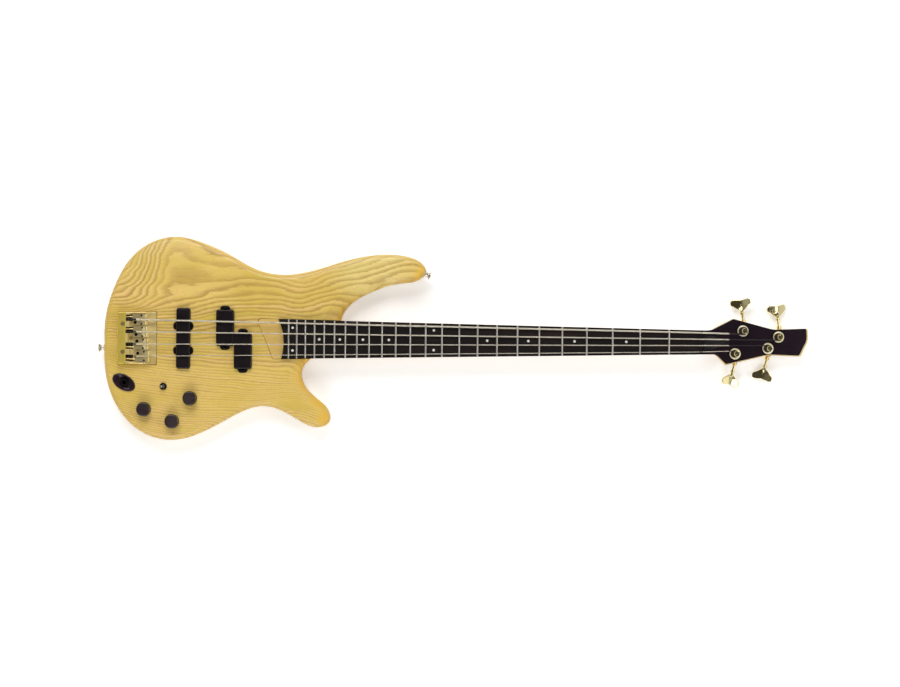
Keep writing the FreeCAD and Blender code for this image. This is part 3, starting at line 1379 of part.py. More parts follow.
def ferrule(x, y):
    profile = [(2.7, 3.2), (2.7, 8.0), (6.0, 8.0), (6.0, 2.2), (8.2, 2.2), (8.2, 0.6), (7.6, 0), (5.4, 0),
               (4.8, 0.6), (4.8, 3.2)]
    return lathe(profile, Vector(x, y, 0))


def body_shape():
    solid = body_blank()
    cutters = [prism(heel_wire(POCKET_GAP, HEEL_FRONT_X + 60), POCKET_Z, TOP + 20)]
    cutters.append(prism(cavity_wire(), -1, CAVITY_TOP))
    cutters.append(prism(cavity_wire().makeOffset2D(LEDGE), -1, COVER_THICKNESS))
    for spot in cover_screw_places():
        cutters.append(rod(spot, spot + UP * 13, 1.0))
    for place in KNOB_PLACES:
        cutters.append(rod(place + UP * (CAVITY_TOP - 1), place + UP * (TOP + 1), BUSHING_RADIUS + 0.2))
    cutters.append(rod(SWITCH_PLACE + UP * (CAVITY_TOP - 1), SWITCH_PLACE + UP * (TOP + 1), 3.1))
    cup_hole = ellipse(CUP_LONG - 1.4, CUP_SHORT - 1.2, JACK_PLACE, JACK_TURN)
    cutters.append(prism(cup_hole, JACK_FLOOR - 2.2, TOP + 1))
    cutters.append(rod(JACK_PLACE + UP * 8, JACK_PLACE + UP * JACK_FLOOR, 10.5))
    main, ears = long_wires(ROUTE_GAP)
    groups = [(main, ears, long_screw_places())]
    for centre in (SPLIT_BASS, SPLIT_TREBLE):
        main, ears = split_wires(centre, ROUTE_GAP)
        groups.append((main, ears, split_screw_places(centre)))
    for main, ears, screws in groups:
        cutters.append(prism(main, ROUTE_Z, TOP + 1))
        cutters.extend(prism(ear, ROUTE_Z, TOP + 1) for ear in ears)
        cutters.extend(rod(spot + UP * (ROUTE_Z - 10), spot + UP * (ROUTE_Z + 1), 1.4) for spot in screws)
    for x, y in CORNER_SCREWS:
        cutters.append(rod(Vector(x, y, TOP - 19), Vector(x, y, TOP + 1), 2.0))
    for x, y in PLATE_SCREWS:
        cutters.append(rod(Vector(x, y, TOP - 19), Vector(x, y, TOP + 1), 1.8))
    for x, y in BOLTS:
        cutters.append(rod(Vector(x, y, -1), Vector(x, y, TOP), 2.7))
        seat = [(0, -1), (8.2, -1), (8.2, 2.2), (6.0, 2.2), (6.0, 8.0), (0, 8.0)]
        cutters.append(lathe(seat, Vector(x, y, 0)))
    for seat, axis in BUTTONS:
        cutters.append(rod(seat, seat + axis * 14, 7.0))
        cutters.append(rod(seat - axis * 25, seat + axis, 2.1))
    for path in lead_paths()[:2]:
        cutters.append(rod(path[1], path[1] + (path[2] - path[1]) * 0.97, 2.6))
    return solid.cut(cutters)


# Leads: pickups to the controls, controls to the jack
LEAD_RADIUS = 0.9
LEAD_BEND = 3.0
LEAD_Z = ROUTE_Z + 4.0
LUG_Z = CAVITY_TOP - POT_HEIGHT + 3.0


def lug(number, which):
    """Under side of one lug of a potentiometer."""
    return KNOB_PLACES[number] + Vector(4.5 * which, POT_RADIUS + 1.8, LUG_Z)


def at_level(point, level):
    return Vector(point.x, point.y, level)


def lead_paths():
    long_start = LONG_PLACE + Vector(0, 7.0 - 0.5 * LONG_PICKUP_LENGTH, 0)
    treble_start = SPLIT_TREBLE + Vector(4.5 - 0.5 * SPLIT_PICKUP_WIDTH, 4.5 - 0.5 * SPLIT_PICKUP_LENGTH, 0)
    link_bass = SPLIT_BASS + Vector(0.5 * SPLIT_PICKUP_WIDTH - 4.2, -19.0, 0)
    link_treble = Vector(SPLIT_TREBLE.x - 0.5 * SPLIT_PICKUP_WIDTH + 4.5, link_bass.y, 0)
    pot = lug(2, -1)
    jack = JACK_PLACE + Vector(5.2, 0, 0)
    switch = SWITCH_PLACE + Vector(4.5, 0, 0)
    low = 6.5
    middle = LEAD_Z - 4.0
    deep = LEAD_Z - 8.0
    return [[at_level(long_start, PICKUP_LOW), at_level(long_start, LEAD_Z),
             Vector(long_start.x, pot.y, LEAD_Z), at_level(pot, LEAD_Z), pot],
            [at_level(treble_start, PICKUP_LOW), at_level(treble_start, LEAD_Z), at_level(lug(2, 1), LEAD_Z),
             lug(2, 1)],
            [at_level(link_bass, PICKUP_LOW), at_level(link_bass, LEAD_Z), at_level(link_treble, LEAD_Z),
             at_level(link_treble, PICKUP_LOW)],
            [lug(0, -1), at_level(lug(0, -1), low), Vector(lug(0, -1).x, jack.y, low), at_level(jack, low),
             at_level(jack, JACK_FLOOR - 23.0)],
            [lug(1, -1), at_level(lug(1, -1), middle), Vector(lug(1, -1).x, lug(0, 1).y, middle),
             at_level(lug(0, 1), middle), lug(0, 1)],
            [at_level(switch, CAVITY_TOP - 14.0), at_level(switch, deep), Vector(lug(1, 1).x, switch.y, deep),
             at_level(lug(1, 1), deep), lug(1, 1)],
            [lug(2, 0), at_level(lug(2, 0), middle), Vector(lug(1, 0).x, lug(2, 0).y, middle),
             at_level(lug(1, 0), middle), lug(1, 0)]]


def lead_shape(points):
    edges = []
    here = points[0]
    for before, corner, after in zip(points, points[1:], points[2:]):
        start, arc, end = bend(before, corner, after, LEAD_BEND)
        edges.extend((Part.makeLine(here, start), arc))
        here = end
    edges.append(Part.makeLine(here, points[-1]))
    solid, length = tube(edges, LEAD_RADIUS)
    print("lead length", round(length, 1), "volume against section times length",
          round(solid.Volume / (math.pi * LEAD_RADIUS ** 2 * length), 5))
    return solid


def main():
    save("body", body_shape())
    save("neck", neck_shape())
    save("headstock_face", veneer_shape())
    save("fretboard", board_shape())
    save("frets", *fret_shapes())
    save("position_markers", *dot_shapes())
    save("nut", nut_shape())
    save("truss_rod", *truss_rod_shapes())
    plate, pins = rod_cover_shapes()
    save("truss_rod_cover", plate)
    save("neck_bolts", *[neck_bolt(x, y) for x, y in BOLTS])
    save("neck_bolt_ferrules", *[ferrule(x, y) for x, y in BOLTS])
    save("bridge_plate", bridge_shape())
    gold_screws = bridge_screws()
    for index, name in enumerate(STRING_NAMES):
        save("saddle_" + name, *saddle_shapes(index))
        save("intonation_screw_" + name, intonation_screw(index))
        save("string_" + name, string_shape(index), ball_end(index))
    inside = rectangle(LONG_PICKUP_WIDTH - 2 * SHELL, LONG_PICKUP_LENGTH - 2 * SHELL, 2.6, LONG_PLACE)
    save("bridge_pickup_cover", pickup_cover(long_wires(0), long_screw_places(), inside))
    save("bridge_pickup_coil", *pickup_inside(LONG_PLACE, LONG_PICKUP_WIDTH, LONG_PICKUP_LENGTH,
                                              pole_offsets(LONG_PLACE, (0, 1, 2, 3))))
    foam = [pickup_foam(LONG_PLACE, LONG_PICKUP_WIDTH, LONG_PICKUP_LENGTH)]
    black_screws = [pickup_screw(spot) for spot in long_screw_places()]
    for name, centre, strings in (("bass", SPLIT_BASS, (0, 1)), ("treble", SPLIT_TREBLE, (2, 3))):
        inside = rectangle(SPLIT_PICKUP_WIDTH - 2 * SHELL, SPLIT_PICKUP_LENGTH - 2 * SHELL, 2.1, centre)
        places = split_screw_places(centre)
        save("split_pickup_cover_" + name, pickup_cover(split_wires(centre, 0), places, inside))
        save("split_pickup_coil_" + name, *pickup_inside(centre, SPLIT_PICKUP_WIDTH, SPLIT_PICKUP_LENGTH,
                                                         pole_offsets(centre, strings)))
        foam.append(pickup_foam(centre, SPLIT_PICKUP_WIDTH, SPLIT_PICKUP_LENGTH))
        black_screws += [pickup_screw(spot) for spot in places]
    save("pickup_foam", *foam)
    black_screws += pins
    black_screws += [flat_screw(spot, UP * -1, 2.2, 1.0, 12) for spot in cover_screw_places()]
    save("black_screws", *black_screws)
    hardware = []
    for number, place in enumerate(KNOB_PLACES, 1):
        save("knob_%d" % number, knob(place))
        save("pot_shaft_%d" % number, pot_shaft(place))
        hardware.extend(pot_hardware(place))
    save("potentiometers", *[pot_body(place) for place in KNOB_PLACES])
    save("control_nuts", *hardware, switch_ring(), jack_nut())
    save("switch_body", switch_body())
    save("switch_lever", switch_lever())
    save("jack_cup", jack_cup())
    save("jack_socket", jack_socket())
    save("cavity_cover", cavity_cover())
    save("leads", *[lead_shape(path) for path in lead_paths()])
    save("strap_buttons", *[strap_button(seat, axis) for seat, axis in BUTTONS])
    save("strap_felts", *[strap_felt(seat, axis) for seat, axis in BUTTONS])
    gold_screws += [strap_screw(seat, axis) for seat, axis in BUTTONS]
    housing = tuner_housing()
    bushing = tuner_bushing()
    post = tuner_post()
    wheel = worm_wheel()
    shaft = worm_shaft()
    screw = tuner_screw()
    save("tuner_housings", *[tuner_place(housing, index) for index in range(4)])
    save("tuner_bushings", *[tuner_place(bushing, index) for index in range(4)])
    gold_screws += [tuner_place(screw, index) for index in range(4)]
    for index, name in enumerate(STRING_NAMES):
        save("tuner_post_" + name, tuner_place(post, index), tuner_place(wheel, index))
        save("tuner_key_" + name, tuner_place(turned_key(index), index), tuner_place(shaft, index))
    save("gold_screws", *gold_screws)


main()
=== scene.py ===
import json
import math
from functools import reduce
from operator import add

import bmesh
import bpy
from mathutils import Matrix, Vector


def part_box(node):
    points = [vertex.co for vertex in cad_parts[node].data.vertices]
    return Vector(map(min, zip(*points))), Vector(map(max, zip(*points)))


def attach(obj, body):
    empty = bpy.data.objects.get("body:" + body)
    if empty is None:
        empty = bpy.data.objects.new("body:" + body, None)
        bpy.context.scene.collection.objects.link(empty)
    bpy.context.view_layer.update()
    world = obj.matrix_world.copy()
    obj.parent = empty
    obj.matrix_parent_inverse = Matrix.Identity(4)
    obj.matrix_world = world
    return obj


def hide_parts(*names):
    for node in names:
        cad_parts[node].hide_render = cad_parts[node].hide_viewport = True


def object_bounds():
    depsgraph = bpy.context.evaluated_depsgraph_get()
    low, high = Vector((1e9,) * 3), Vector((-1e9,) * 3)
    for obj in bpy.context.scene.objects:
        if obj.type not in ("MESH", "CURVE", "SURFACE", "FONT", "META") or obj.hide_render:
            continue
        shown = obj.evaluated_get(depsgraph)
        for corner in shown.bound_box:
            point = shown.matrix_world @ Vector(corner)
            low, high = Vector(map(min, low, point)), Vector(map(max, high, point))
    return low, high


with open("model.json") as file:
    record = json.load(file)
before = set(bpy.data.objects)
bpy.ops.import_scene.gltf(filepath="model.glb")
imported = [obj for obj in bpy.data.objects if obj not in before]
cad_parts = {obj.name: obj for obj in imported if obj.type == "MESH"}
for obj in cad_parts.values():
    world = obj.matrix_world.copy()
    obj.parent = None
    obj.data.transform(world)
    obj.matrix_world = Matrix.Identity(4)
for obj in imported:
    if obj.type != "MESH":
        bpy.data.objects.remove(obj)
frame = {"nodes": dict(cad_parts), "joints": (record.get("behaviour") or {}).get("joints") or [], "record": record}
cad_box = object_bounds()

# Picture frame: its size and the scale's bridge end in pixels, the lens in millimetres, the rest in metres
PICTURE_WIDTH = 900
PICTURE_HEIGHT = 687
METRES_PER_PIXEL = 0.00157415
SCALE_END_PIXEL = (151.31, 337.97)
ROLL = math.radians(0.4645)
STRING_PLANE = 0.0465
LENS = 120.0
SENSOR = 36.0

BODY_FRONT = 0.040
STRING_NAMES = ("e", "a", "d", "g")
WELD = 1e-6


def srgb(red, green, blue):
    """A colour given as 8-bit display values, as the linear colour a shader takes."""

    def linear(level):
        level = level / 255.0
        return level / 12.92 if level <= 0.04045 else ((level + 0.055) / 1.055) ** 2.4

    return (linear(red), linear(green), linear(blue), 1.0)


def add_object(name, data):
    thing = bpy.data.objects.new(name, data)
    bpy.context.scene.collection.objects.link(thing)
    return thing


class Value:
    """A number that changes over a surface; sums, products and the like write Math nodes."""

    def __init__(self, tree, socket):
        self.tree = tree
        self.socket = socket

    def math(self, operation, *others):
        node = self.tree.nodes.new("ShaderNodeMath")
        node.operation = operation
        for socket, value in zip(node.inputs, (self, *others)):
            put(self.tree, socket, value)
        return Value(self.tree, node.outputs[0])

    def __add__(self, other):
        return self.math("ADD", other)

    def __sub__(self, other):
        return self.math("SUBTRACT", other)

    def __mul__(self, other):
        return self.math("MULTIPLY", other)

    def __truediv__(self, other):
        return self.math("DIVIDE", other)

    def squared(self):
        return self * self

    def root(self):
        return self.math("SQRT")

    def unsigned(self):
        return self.math("ABSOLUTE")

    def most(self, other):
        return self.math("MAXIMUM", other)

    def ramp(self, low, high):
        """0 below low and 1 above high, with a smooth rise between."""
        node = self.tree.nodes.new("ShaderNodeMapRange")
        node.interpolation_type = "SMOOTHSTEP"
        put(self.tree, node.inputs["Value"], self)
        node.inputs["From Min"].default_value = low
        node.inputs["From Max"].default_value = high
        return Value(self.tree, node.outputs["Result"])

    def spread(self, low, high):
        """0 becomes low and 1 becomes high, in a straight line."""
        return self * (high - low) + low


def put(tree, socket, value):
    """Links a value or socket, or writes a plain number or colour."""
    if isinstance(value, Value):
        value = value.socket
    if isinstance(value, bpy.types.NodeSocket):
        tree.links.new(value, socket)
    else:
        socket.default_value = value


def one_minus(value):
    return value * -1.0 + 1.0


def bell(value, middle, half):
    """1 at the middle, a half at half to each side, and slowly to 0."""
    return (((value - middle) / half).squared() + 1.0).math("POWER", -1.0)


def over(value, limit, soft):
    """How far a value is over a limit, with a soft start."""
    return (value - limit).math("SMOOTH_MAX", 0.0, soft)


def between(value, low, high, soft):
    """1 from low to high, falling off over a soft edge on both sides."""
    return value.ramp(low - soft, low + soft) * one_minus(value.ramp(high - soft, high + soft))


def distance(x, y, spot):
    return ((x - spot[0]).squared() + (y - spot[1]).squared()).root()


def near(x, y, spot, full, none):
    """1 up to one distance from a spot, falling to 0 at another."""
    return one_minus(distance(x, y, spot).ramp(full, none))


def noise(tree, vector, scale, detail=2.0, roughness=0.5, distortion=0.0):
    node = tree.nodes.new("ShaderNodeTexNoise")
    put(tree, node.inputs["Vector"], vector)
    node.inputs["Scale"].default_value = scale
    node.inputs["Detail"].default_value = detail
    node.inputs["Roughness"].default_value = roughness
    node.inputs["Distortion"].default_value = distortion
    return Value(tree, node.outputs["Fac"])


def streaks(tree, vector, scale, shift=(0, 0, 0), detail=2.0, roughness=0.5):
    """Noise with a scale for each axis, so that it is drawn out along the axis with the least."""
    node = tree.nodes.new("ShaderNodeMapping")
    put(tree, node.inputs["Vector"], vector)
    node.inputs["Scale"].default_value = scale
    node.inputs["Location"].default_value = shift
    return noise(tree, node.outputs["Vector"], 1.0, detail, roughness)


def chance(tree, value):
    """One steady draw from 0 to 1 for each whole number."""
    node = tree.nodes.new("ShaderNodeTexWhiteNoise")
    node.noise_dimensions = "1D"
    put(tree, node.inputs["W"], value)
    return Value(tree, node.outputs["Value"])


def blend_colour(tree, share, first, second):
    node = tree.nodes.new("ShaderNodeMix")
    node.data_type = "RGBA"
    put(tree, node.inputs["Factor"], share)
    colours = [s for s in node.inputs if s.type == "RGBA"]
    put(tree, colours[0], first)
    put(tree, colours[1], second)
    return next(s for s in node.outputs if s.type == "RGBA")


def place(tree, output="Object"):
    node = tree.nodes.new("ShaderNodeTexCoord")
    return node.outputs[output]


def parts_of(tree, vector):
    node = tree.nodes.new("ShaderNodeSeparateXYZ")
    put(tree, node.inputs[0], vector)
    return [Value(tree, s) for s in node.outputs]


def paint(tree, shader, colour, roughness):
    put(tree, shader.inputs["Base Color"], colour)
    put(tree, shader.inputs["Roughness"], roughness)


def relief(tree, shader, height, depth, strength):
    """Bump of a given depth in metres on the shader's normal."""
    node = tree.nodes.new("ShaderNodeBump")
    put(tree, node.inputs["Height"], height)
    node.inputs["Distance"].default_value = depth
    node.inputs["Strength"].default_value = strength
    tree.links.new(node.outputs["Normal"], shader.inputs["Normal"])


def new_material(name, **sockets):
    """A material's node tree and Principled shader; underscores in the sockets' names stand for spaces."""
    material = bpy.data.materials.new(name)
    material.use_nodes = True
    tree = material.node_tree
    shader = next(n for n in tree.nodes if n.type == "BSDF_PRINCIPLED")
    for socket, value in sockets.items():
        shader.inputs[socket.replace("_", " ")].default_value = value
    return material, tree, shader


def new_group(name, inputs, outputs, write):
    """A shader node group; write gets its tree and input sockets and gives a value for each output."""
    tree = bpy.data.node_groups.new(name, "ShaderNodeTree")
    for label, kind in inputs:
        tree.interface.new_socket(label, in_out="INPUT", socket_type=kind)
    for label in outputs:
        tree.interface.new_socket(label, in_out="OUTPUT", socket_type="NodeSocketFloat")
    entry = tree.nodes.new("NodeGroupInput")
    leave = tree.nodes.new("NodeGroupOutput")
    made = write(tree, {s.name: s for s in entry.outputs if s.name})
    for label in outputs:
        put(tree, leave.inputs[label], made[label])
    return tree


def use_group(tree, group, **inputs):
    """Places a group in a material and gives its outputs by name."""
    node = tree.nodes.new("ShaderNodeGroup")
    node.node_tree = group
    for label, value in inputs.items():
        put(tree, node.inputs[label], value)
    return {s.name: Value(tree, s) for s in node.outputs}


# Effects shared by several finishes


def write_growth_rings(tree, given):
    """Growth rings, one for each whole count, with open pores along each early band."""
    vector = given["Vector"]
    uneven = streaks(tree, vector, (5, 24, 24), detail=3.0)
    ragged = streaks(tree, vector, (70, 520, 520))
    count = Value(tree, given["Count"]) + uneven.spread(-1.5, 1.5) + ragged.spread(-0.24, 0.24)
    phase = count.math("FRACT")
    tone = chance(tree, count.math("FLOOR"))
    fading = one_minus(phase.ramp(0.0, 0.62))
    starting = phase.ramp(0.80, 1.0)
    line = fading.most(starting) * tone.spread(0.35, 1.0)
    fibre = streaks(tree, vector, (80, 1500, 1500), detail=1.0)
    return {"Line": line, "Tone": tone, "Pores": fibre.ramp(0.54, 0.70) * line}


def write_handling(tree, given):
    """Soft smears and fine hairlines left by hands and cloths."""
    vector = given["Vector"]
    smear = noise(tree, vector, 38.0, detail=4.0, roughness=0.6, distortion=0.6)
    along = streaks(tree, vector, (160, 4200, 2600), detail=1.0)
    across = streaks(tree, vector, (3800, 190, 2400), shift=(0.3, 0.1, 0.7), detail=1.0)
    return {"Smear": smear, "Hairline": along.ramp(0.68, 0.78).most(across.ramp(0.70, 0.80))}


def write_moulding(tree, given):
    """The fine leathery skin of a moulded plastic."""
    vector = given["Vector"]
    pits = noise(tree, vector, 2600.0, roughness=0.6)
    cloud = noise(tree, vector, 60.0, detail=3.0)
    return {"Pits": pits, "Cloud": cloud}


VECTOR_INPUT = ("Vector", "NodeSocketVector")
COUNT_INPUT = ("Count", "NodeSocketFloat")
GROWTH_RINGS = new_group(
    "growth_rings", [VECTOR_INPUT, COUNT_INPUT], ["Line", "Tone", "Pores"], write_growth_rings)
HANDLING = new_group("handling", [VECTOR_INPUT], ["Smear", "Hairline"], write_handling)
MOULDING = new_group("moulding", [VECTOR_INPUT], ["Pits", "Cloud"], write_moulding)


# Finishes, one function each


# Grain of the body, in metres: the lines' step along the middle, their sway, the rings to a metre of depth
RING_STEP = 0.0044
SWAY = 0.008
RINGS_THROUGH = 110.0

# The lines above the strings climb to the waist, dip past it and run out along the horn
CLIMB = (-0.090, 0.170)
CLIMB_HEIGHT = 0.046
DIP_PLACE = 0.232
DIP_HALF = 0.040
DIP_HEIGHT = -0.013
HORN = (0.250, 0.420)
HORN_HEIGHT = 0.008
RISE_FROM = 0.004
RISE_SOFTNESS = 0.030
RISE_SPAN = 0.085

# The lines below the strings fall along the body and bulge at the waist
FALL_PLACE = 0.040
FALL_SLOPE = -0.10
FALL_BELOW = (0.012, 0.085)
WAIST_PLACE = 0.222
WAIST_HALF = 0.060
WAIST_HEIGHT = 0.026
WAIST_BELOW = (0.050, 0.120)

# The upper bout: plain from a height on, with arcs about a centre
PLAIN_FROM = 0.046
PLAIN_SOFTNESS = 0.020
PLAIN_END = (0.020, 0.270)
PLAIN_SHARE = 0.93
ARC_STEP = 0.0070
ARC_CENTRE = (-0.059, 0.144)
ARC_REACH = 0.082
ARC_SOFTNESS = 0.030
ARC_TALL = 0.5
ARC_SWAY = 1.2

# The lower corner: arcs outside a reach from a centre
CORNER_STEP = 0.0080
CORNER_CENTRE = (0.030, -0.060)
CORNER_REACH = 0.080
CORNER_SOFTNESS = 0.020
CORNER_BELOW = (0.0, 0.060)
CORNER_END = (0.0, 0.160)

# Where amber painted shade darkens the wood, as places and reaches: both cutaways and the tips of the horns.
# The core, where it is full, is a share of the reach.
AMBER_SHADE_SPOTS = (
    (0.256, -0.054, 0.042), (0.268, -0.092, 0.026), (0.281, -0.127, 0.026),
    (0.330, 0.026, 0.048), (0.362, 0.062, 0.024), (0.400, 0.076, 0.022), (0.430, 0.100, 0.022),
)
AMBER_SHADE_CORE = 0.45

# Where a painted highlight makes the upper horn palest, as a place, a reach and the core's share of it
HORN_HIGHLIGHT_PLACE = (0.345, 0.115)
HORN_HIGHLIGHT_REACH = 0.085
HORN_HIGHLIGHT_CORE = 0.3

# The lines are fainter below the strings
FAINT_LINES = (-0.060, 0.020)

# The painted shadow line round the bridge plate, in metres from its edge and below the front
PLATE_LINE = (0.0005, 0.0013)
PLATE_LINE_DEPTHS = (0.0020, 0.0005)

# The painted shade at the fold where the front turns down to the edge fades out over these depths
FOLD_DEPTHS = (0.001, 0.011)

# Tones of the ash and of the lacquer over it, and of the painted highlight and painted shades
ASH_DEEP = srgb(211, 182, 82)
ASH_LIGHT = srgb(226, 195, 106)
ASH_PINK = srgb(231, 196, 124)
ASH_BLUSH = srgb(229, 190, 116)
ASH_OLIVE = srgb(208, 184, 84)
ASH_HIGHLIGHT = srgb(234, 216, 144)
ASH_LINE = srgb(166, 129, 56)
ASH_PORE = srgb(150, 108, 48)
ASH_FLECK = srgb(190, 150, 76)
AMBER = srgb(226, 180, 56)
EDGE_SHADE_AMBER = srgb(204, 162, 56)
AMBER_END_GRAIN = srgb(194, 146, 50)
PLATE_SHADE = srgb(84, 62, 28)


def line_height(x, y):
    """How far the lines are drawn up or down."""
    below = y * -1.0
    climb = x.ramp(*CLIMB) * CLIMB_HEIGHT
    dip = bell(x, DIP_PLACE, DIP_HALF) * DIP_HEIGHT
    horn = x.ramp(*HORN) * HORN_HEIGHT
    rise = (climb + dip + horn) * over(y, RISE_FROM, RISE_SOFTNESS) / RISE_SPAN
    fall = (x - FALL_PLACE) * FALL_SLOPE * below.ramp(*FALL_BELOW)
    waist = bell(x, WAIST_PLACE, WAIST_HALF) * WAIST_HEIGHT * below.ramp(*WAIST_BELOW)
    return rise + fall + waist


def ring_count(tree, vector, x, y, depth):
    sway = streaks(tree, vector, (7, 16, 16)).spread(-SWAY, SWAY)
    line = y + sway - line_height(x, y)
    plain = over(line, PLAIN_FROM, PLAIN_SOFTNESS) * one_minus(x.ramp(*PLAIN_END)) * PLAIN_SHARE
    across = (x - ARC_CENTRE[0]).squared() + (y - ARC_CENTRE[1]).squared() * ARC_TALL
    arcs = over(across.root() * -1.0 + sway * ARC_SWAY, -ARC_REACH, ARC_SOFTNESS)
    corner = over(distance(x, y, CORNER_CENTRE), CORNER_REACH, CORNER_SOFTNESS)
    corner = corner * (y * -1.0).ramp(*CORNER_BELOW) * one_minus(x.ramp(*CORNER_END))
    return (line - plain) / RING_STEP + arcs / ARC_STEP - corner / CORNER_STEP + depth * RINGS_THROUGH


def amber_shade_share(x, y):
    """1 where the amber painted shade is darkest, falling to 0 at the end of each spot's reach."""
    spots = [near(x, y, spot[:2], AMBER_SHADE_CORE * spot[2], spot[2]) for spot in AMBER_SHADE_SPOTS]
    return reduce(Value.most, spots)


def plate_painted_shadow(x, y, z):
    """A painted shadow line where the bridge plate meets the wood."""
    low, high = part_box("bridge_plate")
    middle = (low + high) / 2
    half = (high - low) / 2
    out_x = ((x - middle.x).unsigned() - half.x).most(0.0)
    out_y = ((y - middle.y).unsigned() - half.y).most(0.0)
    close = one_minus((out_x.squared() + out_y.squared()).root().ramp(*PLATE_LINE))
    return close * z.ramp(*(BODY_FRONT - depth for depth in PLATE_LINE_DEPTHS))


def ash_body():
    """Light ash under satin lacquer: soft lines, amber painted shade where the edges and cutaways turn down, a
    painted highlight on the upper horn and a painted shadow round the bridge plate.
    """
    material, tree, shader = new_material("ash_body", Coat_Weight=0.1, Coat_Roughness=0.3)
    vector = place(tree)
    x, y, z = parts_of(tree, vector)
    depth = z * -1.0 + BODY_FRONT
    rings = use_group(tree, GROWTH_RINGS, Vector=vector, Count=ring_count(tree, vector, x, y, depth))
    cloud = streaks(tree, vector, (9, 22, 22), detail=3.0)
    blush = streaks(tree, vector, (14, 20, 20), shift=(0.4, 0.2, 0.1))
    mottle = streaks(tree, vector, (26, 60, 60), shift=(0.2, 0.6, 0.3))
    fleck = streaks(tree, vector, (240, 900, 900))
    lines = rings["Line"] * cloud.spread(0.70, 1.0) * y.ramp(*FAINT_LINES).spread(0.72, 1.0)
    facing = parts_of(tree, place(tree, "Normal"))
    level = facing[2].unsigned()
    # Painted shade: amber where the surface turns away from facing up, and along the fold
    rim_shade = one_minus(level.ramp(0.20, 0.98)) * 0.45
    fold = one_minus(level.ramp(0.90, 0.985)) * one_minus(depth.ramp(*FOLD_DEPTHS)) * 0.3
    colour = blend_colour(tree, cloud.ramp(0.30, 0.70), ASH_DEEP, ASH_LIGHT)
    layers = (
        (rings["Tone"].ramp(0.45, 1.0) * 0.55, ASH_PINK),
        (blush.ramp(0.42, 0.72) * 0.5, ASH_BLUSH),
        (mottle.ramp(0.48, 0.72) * 0.35, ASH_OLIVE),
        # Painted highlight on the upper horn
        (near(x, y, HORN_HIGHLIGHT_PLACE, HORN_HIGHLIGHT_CORE * HORN_HIGHLIGHT_REACH, HORN_HIGHLIGHT_REACH) * 0.6, ASH_HIGHLIGHT),
        (lines, ASH_LINE),
        (rings["Pores"] * 0.35, ASH_PORE),
        (fleck.ramp(0.50, 0.70) * 0.32, ASH_FLECK),
        # Amber painted shade in the cutaways and at the tips of the horns
        (amber_shade_share(x, y) * 0.75, AMBER),
        # Amber painted shade on the rounded edges and at the fold
        (rim_shade.most(fold), EDGE_SHADE_AMBER),
        (facing[0].unsigned().ramp(0.35, 0.95) * 0.4, AMBER_END_GRAIN),
        # Painted shadow round the bridge plate
        (plate_painted_shadow(x, y, z) * 0.75, PLATE_SHADE),
    )
    for share, tone in layers:
        colour = blend_colour(tree, share, colour, tone)
    paint(tree, shader, colour, cloud.spread(0.34, 0.46))
    relief(tree, shader, rings["Pores"] * -1.0 + rings["Line"] * -0.3, depth=0.00012, strength=0.5)
    return material


# Neck, in metres: the middle of the growth rings beside and above it, their step and sway, and where a painted
# highlight turns it pale along the head
RINGS_MIDDLE = (0.16, 0.06)
MAPLE_STEP = 0.0034
MAPLE_SWAY = 0.004
HEAD_HIGHLIGHT = (0.880, 0.915)


def maple_neck():
    """Close-grained maple under oil, with a painted highlight turning it pale along the head."""
    material, tree, shader = new_material("maple_neck", Coat_Weight=0.1, Coat_Roughness=0.35)
    vector = place(tree)
    x, y, z = parts_of(tree, vector)
    sway = streaks(tree, vector, (3, 18, 18)).spread(-MAPLE_SWAY, MAPLE_SWAY)
    radius = distance(y + sway, z, RINGS_MIDDLE)
    rings = use_group(tree, GROWTH_RINGS, Vector=vector, Count=radius / MAPLE_STEP)
    fleck = streaks(tree, vector, (130, 700, 700))
    dark = srgb(186, 142, 70)
    colour = blend_colour(tree, rings["Line"] * 0.5, srgb(212, 178, 98), dark)
    colour = blend_colour(tree, fleck.ramp(0.55, 0.75) * 0.25, colour, dark)
    # Painted highlight along the head
    colour = blend_colour(tree, x.ramp(*HEAD_HIGHLIGHT) * 0.45, colour, srgb(238, 220, 172))
    paint(tree, shader, colour, fleck.spread(0.38, 0.52))
    relief(tree, shader, fleck, depth=0.00004, strength=0.4)
    return material


def dark_fretboard():
    """Near-black oiled hardwood with short open pores and brown streaks."""
    material, tree, shader = new_material("dark_fretboard", Specular_IOR_Level=0.18)
    vector = place(tree)
    streak = streaks(tree, vector, (6, 160, 160), detail=4.0, roughness=0.6)
    pores = streaks(tree, vector, (120, 2200, 2200), detail=1.0).ramp(0.58, 0.70)
    colour = blend_colour(tree, streak.ramp(0.45, 0.75), srgb(18, 11, 11), srgb(40, 27, 23))
    colour = blend_colour(tree, pores * 0.6, colour, srgb(9, 7, 6))
    paint(tree, shader, colour, streak.spread(0.40, 0.62))
    relief(tree, shader, pores * -1.0, depth=0.0001, strength=0.6)
    return material


# Handling marks on metal: the range over which smears change the tone, and the hairlines' depth in metres
SMEAR_EDGES = (0.35, 0.7)
HAIRLINE_DEPTH = 0.00002
HAIRLINE_STRENGTH = 0.5


def smeared(tree, marks, colour, tint):
    """One tone that turns into another where the metal is smeared."""
    return blend_colour(tree, marks["Smear"].ramp(*SMEAR_EDGES), colour, tint)


def scratch(tree, shader, marks):
    relief(tree, shader, marks["Hairline"] * -1.0, HAIRLINE_DEPTH, HAIRLINE_STRENGTH)


